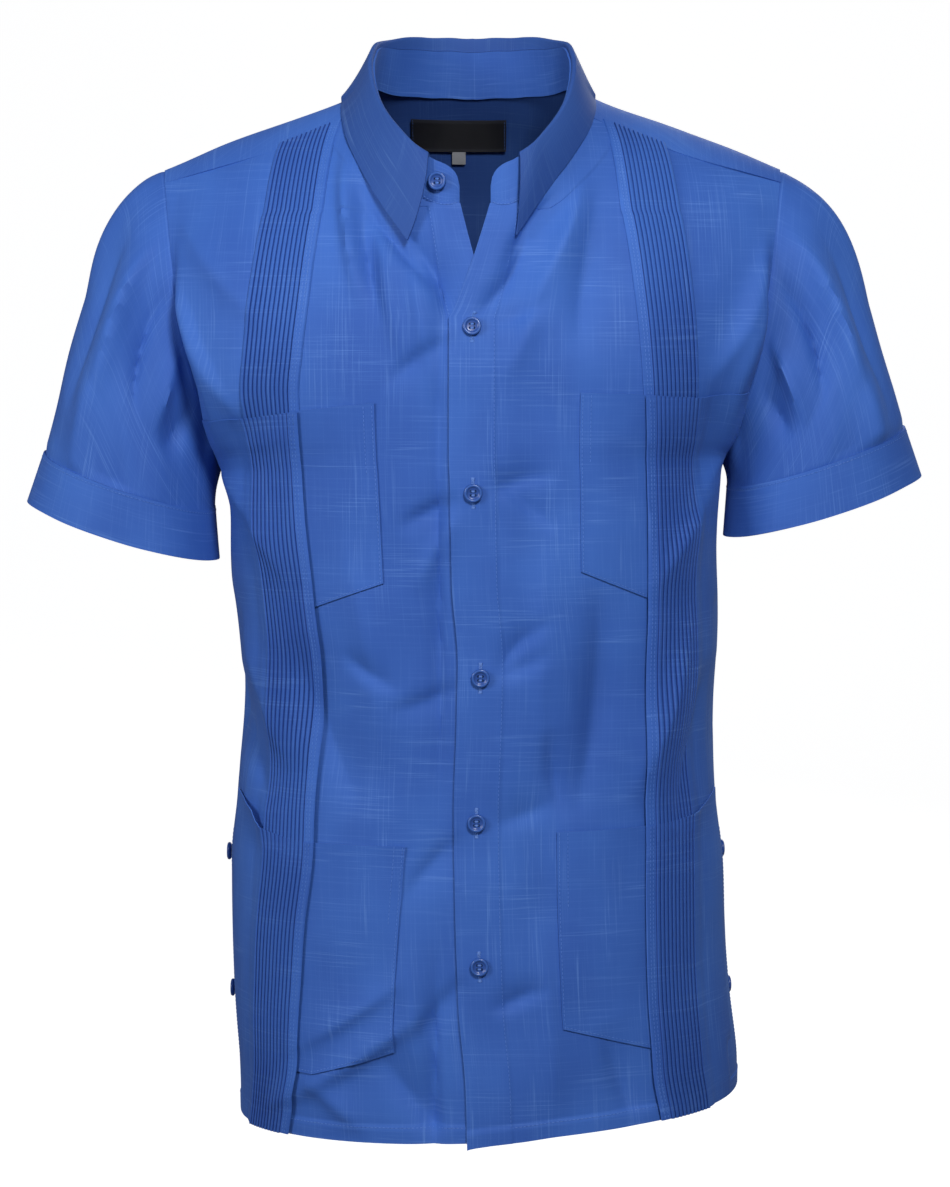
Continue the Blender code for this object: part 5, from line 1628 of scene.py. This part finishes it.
def pocket_stitches(row):
    lines = []
    for inset, lowest in ((0.0074, 0.62), (0.0016, 0.0)):
        share = rows_of(lowest, 0.995, 120)
        flats = between(*row.inner, share) + inset
        height, lift = inner_half(row, flats, share)
        lines.append(front_at(row.side, flats, up_of(height), lift + 0.0008))
    flats = rows_of(row.inner[0] + 0.002, float(band_inner(row.side, up_of(row.foot))) - 0.001, 90)
    height, lift = inner_half(row, flats, np.full(90, 0.013))
    lines.append(front_at(row.side, flats, up_of(height), lift + 0.0008))
    share = rows_of(0.003, 0.995, 260)
    for across in (0.0026, 0.0050):
        flats, height, lift = outer_half(row, np.full(260, across), share)
        lines.append(front_at(row.side, flats, up_of(height), lift + 0.30 * TUCK_RISE + 0.0006))
    return sewn(f"stitches_{row.name}_pocket_{row.side}", lines)


POCKET_STITCHES = [pocket_stitches(row) for row in POCKETS]
sewn_rows_made = FRONT_STITCHES + POCKET_STITCHES
print("front and pocket stitches", sum(len(row.data.polygons) for row in sewn_rows_made))


# %% [markdown]
# ## Rows on the back, cuffs and collar
#
# These rows follow the back's hem, the tops of the sleeve hems and the seams of the stand. The
# stand's rows lie on its inner side too, because the open neck shows them.

# %% Stitches on the rest
def back_stitches():
    edge = outer_flat(BACK, HEM_HEIGHT)
    flats = rows_of(-edge + 0.003, edge - 0.003, 300)
    drawn = HEM_RISE["left"][1] * np.clip(flats / edge, 0, 1) ** HEM_BEND["left"]
    level = HEM_HEIGHT + HEM_TURN - 0.0008 + drawn * 0.88
    return sewn("stitches_back", [back_at(flats, level, WALL + 0.0006)])


def cuff_stitches(side):
    share = rows_of(0, 1, 200)
    flats = np.full(200, CUFF_WIDTH - 0.0022)
    return sewn(f"stitches_cuff_{side}", [cuff_at(side, share, flats, 0.0018)])


def collar_stitches():
    """Two rows along the stand's foot, inside and out, and one under its top edge inside."""
    lines = []
    turn = rows_of(-STAND_END + 3, STAND_END - 3, 420)
    away = bearing(turn)
    for share in (0.06, 0.15):
        lines.append((stand_place(turn, share) - away * 0.0001, -away))
    lines.append((stand_place(turn, 0.06) + away * 0.0014, away))
    inner = rows_of(-LEAF_TURN + 4, LEAF_TURN - 4, 420)
    lines.append((stand_place(inner, 0.86) - bearing(inner) * 0.0001, -bearing(inner)))
    return sewn("stitches_collar", lines, 0.0025, 0.0019, 0.00026)


REST_STITCHES = [back_stitches(), collar_stitches(), *[cuff_stitches(side) for side in SIDE_SIGN]]
print("other stitches", [piece.name for piece in REST_STITCHES])

# %% [markdown]
# ## Buttonholes
#
# The buttonholes run up and down under the buttons, so a little satin stitch shows above and
# below each one.

# %% Buttonholes
FRONT_BUTTONS = (-0.162, -0.274, -0.400, -0.500, -0.599)
HOLE_HALF = 0.0098


def buttonholes():
    lines = []
    for height in FRONT_BUTTONS:
        ups = up_of(rows_of(height - HOLE_HALF, height + HOLE_HALF, 12))
        for flat in (-0.00085, 0.00085):
            lines.append(front_at("left", np.full(12, flat), ups, FRONT_FACE))
    sides = sewn("buttonhole_sides", lines, 0.00042, 0.0015, 0.00022, crosswise=True)
    ends = []
    for height in FRONT_BUTTONS:
        for end in (height - HOLE_HALF, height + HOLE_HALF):
            ups = up_of(rows_of(end - 0.0007, end + 0.0007, 6))
            ends.append(front_at("left", np.zeros(6), ups, FRONT_FACE))
    return sides, sewn("buttonhole_ends", ends, 0.00036, 0.0034, 0.00024, crosswise=True)


print("buttonholes", len(FRONT_BUTTONS), "in", len(buttonholes()), "kinds of bar")

# %% [markdown]
# ## Buttons
#
# Each is a four-hole button of dyed resin: a dished middle inside a rounded rim that catches
# the light. Its finish has a faint cloud in the dye, a painted highlight on the rim and painted
# shade in the holes.

# %% Button finish
BUTTON_RADIUS = 0.0064
BUTTON_THICKNESS = 0.0026
HOLE_SPACING = 0.0027
HOLE_RADIUS = 0.00078
resin = Paint("blue_resin")
bx, by = resin.flat()
ring = (bx * bx + by * by).math("SQRT")
cloudy = resin.node("ShaderNodeTexNoise", {"Scale": 420.0, "Detail": 3.0})
# painted highlight: the rim is paler, for the light it catches
rim_painted_highlight = ring.over(0.0043, 0.0049) * (1 - ring.over(0.0056, 0.0063))
body_tone = resin.mix(cloudy, (0.012, 0.046, 0.230, 1), (0.026, 0.088, 0.340, 1))
# painted shade: the holes are darker, for the shade inside them
hole_x = bx.math("ABSOLUTE") - HOLE_SPACING / 2
hole_y = by.math("ABSOLUTE") - HOLE_SPACING / 2
holes_painted_shade = 1 - (hole_x * hole_x + hole_y * hole_y).math("SQRT").over(0.00080, 0.00105)
toned = resin.mix(rim_painted_highlight * 0.6, body_tone, (0.036, 0.120, 0.430, 1))
resin.link("Base Color", resin.mix(holes_painted_shade * 0.9, toned, (0.002, 0.006, 0.035, 1)))
resin.link("Roughness", 0.30 + cloudy * 0.08)
resin.set(Coat_Weight=0.2, Coat_Roughness=0.20, Specular_IOR_Level=0.45)
print("finish", resin.material.name)


# %% [markdown]
# ## Turning a button
#
# A shirt button is turned on a lathe and then drilled. In the same way the half profile is
# spun about its axis, and four small cylinders are cut from the disc. One button is made, and
# each place gets its own copy of the mesh, with two bundles of thread across its holes.

# %% Button
def turned_button():
    """One button lying on its back at the origin, with its four holes cut."""
    thick, radius = BUTTON_THICKNESS, BUTTON_RADIUS
    profile = (
        (0, thick * 0.58), (radius * 0.50, thick * 0.60), (radius * 0.63, thick * 0.68),
        (radius * 0.70, thick * 0.92), (radius * 0.78, thick), (radius * 0.88, thick * 0.98),
        (radius * 0.96, thick * 0.84), (radius, thick * 0.56), (radius * 0.96, thick * 0.22),
        (radius * 0.80, 0), (0, 0),
    )  # fmt: skip
    bm = bmesh.new()
    verts = [bm.verts.new((r, 0, h)) for r, h in profile]
    edges = [bm.edges.new(pair) for pair in zip(verts, verts[1:])]
    bmesh.ops.spin(
        bm, geom=verts + edges, cent=(0, 0, 0), axis=(0, 0, 1), angle=2 * math.pi, steps=40,
        use_merge=True,
    )  # fmt: skip
    bmesh.ops.remove_doubles(bm, verts=bm.verts, dist=1e-6)
    bmesh.ops.recalc_face_normals(bm, faces=bm.faces)
    disc = bpy.data.objects.new("disc", bpy.data.meshes.new("disc"))
    bm.to_mesh(disc.data)
    bm.free()
    holes = bmesh.new()
    half = HOLE_SPACING / 2
    for x, y in ((-half, -half), (half, -half), (-half, half), (half, half)):
        bmesh.ops.create_cone(
            holes, cap_ends=True, segments=14, radius1=HOLE_RADIUS, radius2=HOLE_RADIUS,
            depth=4 * thick, matrix=Matrix.Translation((x, y, 0)),
        )  # fmt: skip
    cutter = bpy.data.objects.new("holes", bpy.data.meshes.new("holes"))
    holes.to_mesh(cutter.data)
    holes.free()
    for obj in (disc, cutter):
        scene.collection.objects.link(obj)
    cut = disc.modifiers.new("holes", "BOOLEAN")
    cut.operation, cut.object, cut.solver = "DIFFERENCE", cutter, "EXACT"
    mesh = applied(disc).data
    for obj in (disc, cutter):
        bpy.data.objects.remove(obj)
    layer = mesh.uv_layers.new(name="flat")
    for loop in mesh.loops:
        layer.data[loop.index].uv = mesh.vertices[loop.vertex_index].co.xy
    return mesh


BUTTON_MESH = turned_button()
BUTTON_MESH.materials.clear()
BUTTON_MESH.materials.append(resin.material)


def button(node, centre, facing):
    """A button on the cloth, with its thread, standing for a CAD button."""
    centre, facing = Vector(centre), Vector(facing).normalized()
    upright = Vector((0, 0, 1))
    side = upright.cross(facing).normalized()
    turn = Matrix((side, facing.cross(side), facing)).transposed().to_4x4()
    obj = bpy.data.objects.new(f"turned_{node}", BUTTON_MESH.copy())
    obj.data.transform(Matrix.Translation(centre) @ turn)
    scene.collection.objects.link(obj)
    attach(obj, "root")
    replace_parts(obj, node)
    frame_of = np.array(turn.to_3x3())
    lift = BUTTON_THICKNESS * 0.63
    spots = np.array([(0, dy, lift) for dy in (-0.0017, -0.0013, -0.0010, 0.0010, 0.0013, 0.0017)])
    spots = np.array(centre) + spots @ frame_of.T
    count = len(spots)
    strands = lenses(f"thread_{node}", spots, np.tile(frame_of[:, 0], (count, 1)),
                     np.tile(frame_of[:, 2], (count, 1)), 0.0036, 0.00022)
    return obj


for number, height in enumerate(FRONT_BUTTONS, 1):
    place, out = front_at("left", 0.0, up_of(height), FRONT_FACE + 0.0004)
    button(f"front_button_{number}", place, out)
low, high = stand_place(-174.5, 0.2), stand_place(-174.5, 0.9)
before, after = stand_place(-177.5, 0.5), stand_place(-171.5, 0.5)
facing = unit(np.cross(after - before, high - low))
facing = facing if facing[1] < 0 else -facing
button("collar_button", (low + high) / 2 + facing * 0.0017, facing)
VENT_SETBACK = {"right": 0.010, "left": 0.022}
for side, sign in SIDE_SIGN.items():
    for number, height in enumerate((-0.5415, -0.6425), 1):
        flat = sign * (BACK.side_at(height) - VENT_SETBACK[side])
        a, b, place = BACK.points(np.array([flat - 0.005, flat + 0.005, flat]), height)
        out = unit(np.cross(b - a, (0, 0, 1)))
        out = out if out[0] * sign > 0 else -out
        button(f"vent_button_{side}_{number}", place + out * 0.0027, out)
print("buttons", len(FRONT_BUTTONS) + 5)

# %% [markdown]
# ## Neck label
#
# A woven satin label is sewn inside the yoke, with a small grey size tab under it. Both are
# plain here. The label's own detail is its fine ribs, a paler border along its top and bottom
# and a row of stitches at each end.

# %% Labels
woven = Paint("woven_label")
lx, ly = woven.flat()
rib = (lx * (2 * math.pi / 0.0005)).math("SINE") * (ly * (2 * math.pi / 0.00034)).math("SINE")
border = (ly - 0.011).math("ABSOLUTE").over(0.0086, 0.0090)
SATIN = ((0.004, 0.004, 0.006, 1), (0.030, 0.032, 0.042, 1))
woven.link("Base Color", woven.mix(border * 0.5 + rib * 0.08 + 0.1, *SATIN))
woven.link("Roughness", 0.42 + rib * 0.08)
ribbed = woven.node("ShaderNodeBump", {"Strength": 0.5, "Distance": 0.00015, "Height": rib})
woven.link("Normal", ribbed)
tape = Paint("grey_tape")
gx, gy = tape.flat()
weave = (gx * (2 * math.pi / 0.0006)).math("SINE") * (gy * (2 * math.pi / 0.0006)).math("SINE")
tape.link("Base Color", tape.mix(weave * 0.5 + 0.5, (0.22, 0.23, 0.25, 1), (0.36, 0.37, 0.40, 1)))
taped = tape.node("ShaderNodeBump", {"Strength": 0.4, "Distance": 0.0001, "Height": weave})
tape.link("Normal", taped)
tape.set(Roughness=0.7)

LABEL_TOP = -0.008
LABEL_X = -0.010


def tag(node, width, height, top, finish, lift):
    """A woven tag on the inside of the yoke."""
    across, level = grid_of(np.linspace(0, width, 36), np.linspace(0, height, 14))
    x = across - width / 2 + LABEL_X
    places = ridge_point(x, ridge_turn(x, top - height + level, 1))
    ends = 0.0003 * np.sin(math.pi * across / width) * np.sin(math.pi * level / height)
    places[..., 1] -= lift + ends
    uv = np.stack([across, level], axis=-1)
    piece = cloth(f"woven_{node}", places, uv, wall=0.0005, finish=finish.material)
    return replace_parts(piece, node)


tag("label", 0.070, 0.022, LABEL_TOP, woven, 0.0013)
tag("size_tab", 0.010, 0.009, LABEL_TOP - 0.0218, tape, 0.0011)
lines = []
for x in (LABEL_X - 0.0338, LABEL_X + 0.0338):
    level = np.linspace(LABEL_TOP - 0.0212, LABEL_TOP - 0.0008, 30)
    column = np.full(30, x)
    place = ridge_point(column, ridge_turn(column, level, 1)) - np.array([0, 0.0019, 0])
    lines.append((place, np.tile((0.0, -1.0, 0.0), (30, 1))))
sewn("stitches_label", lines, 0.0026, 0.0019, 0.00016)
print("label and tab")
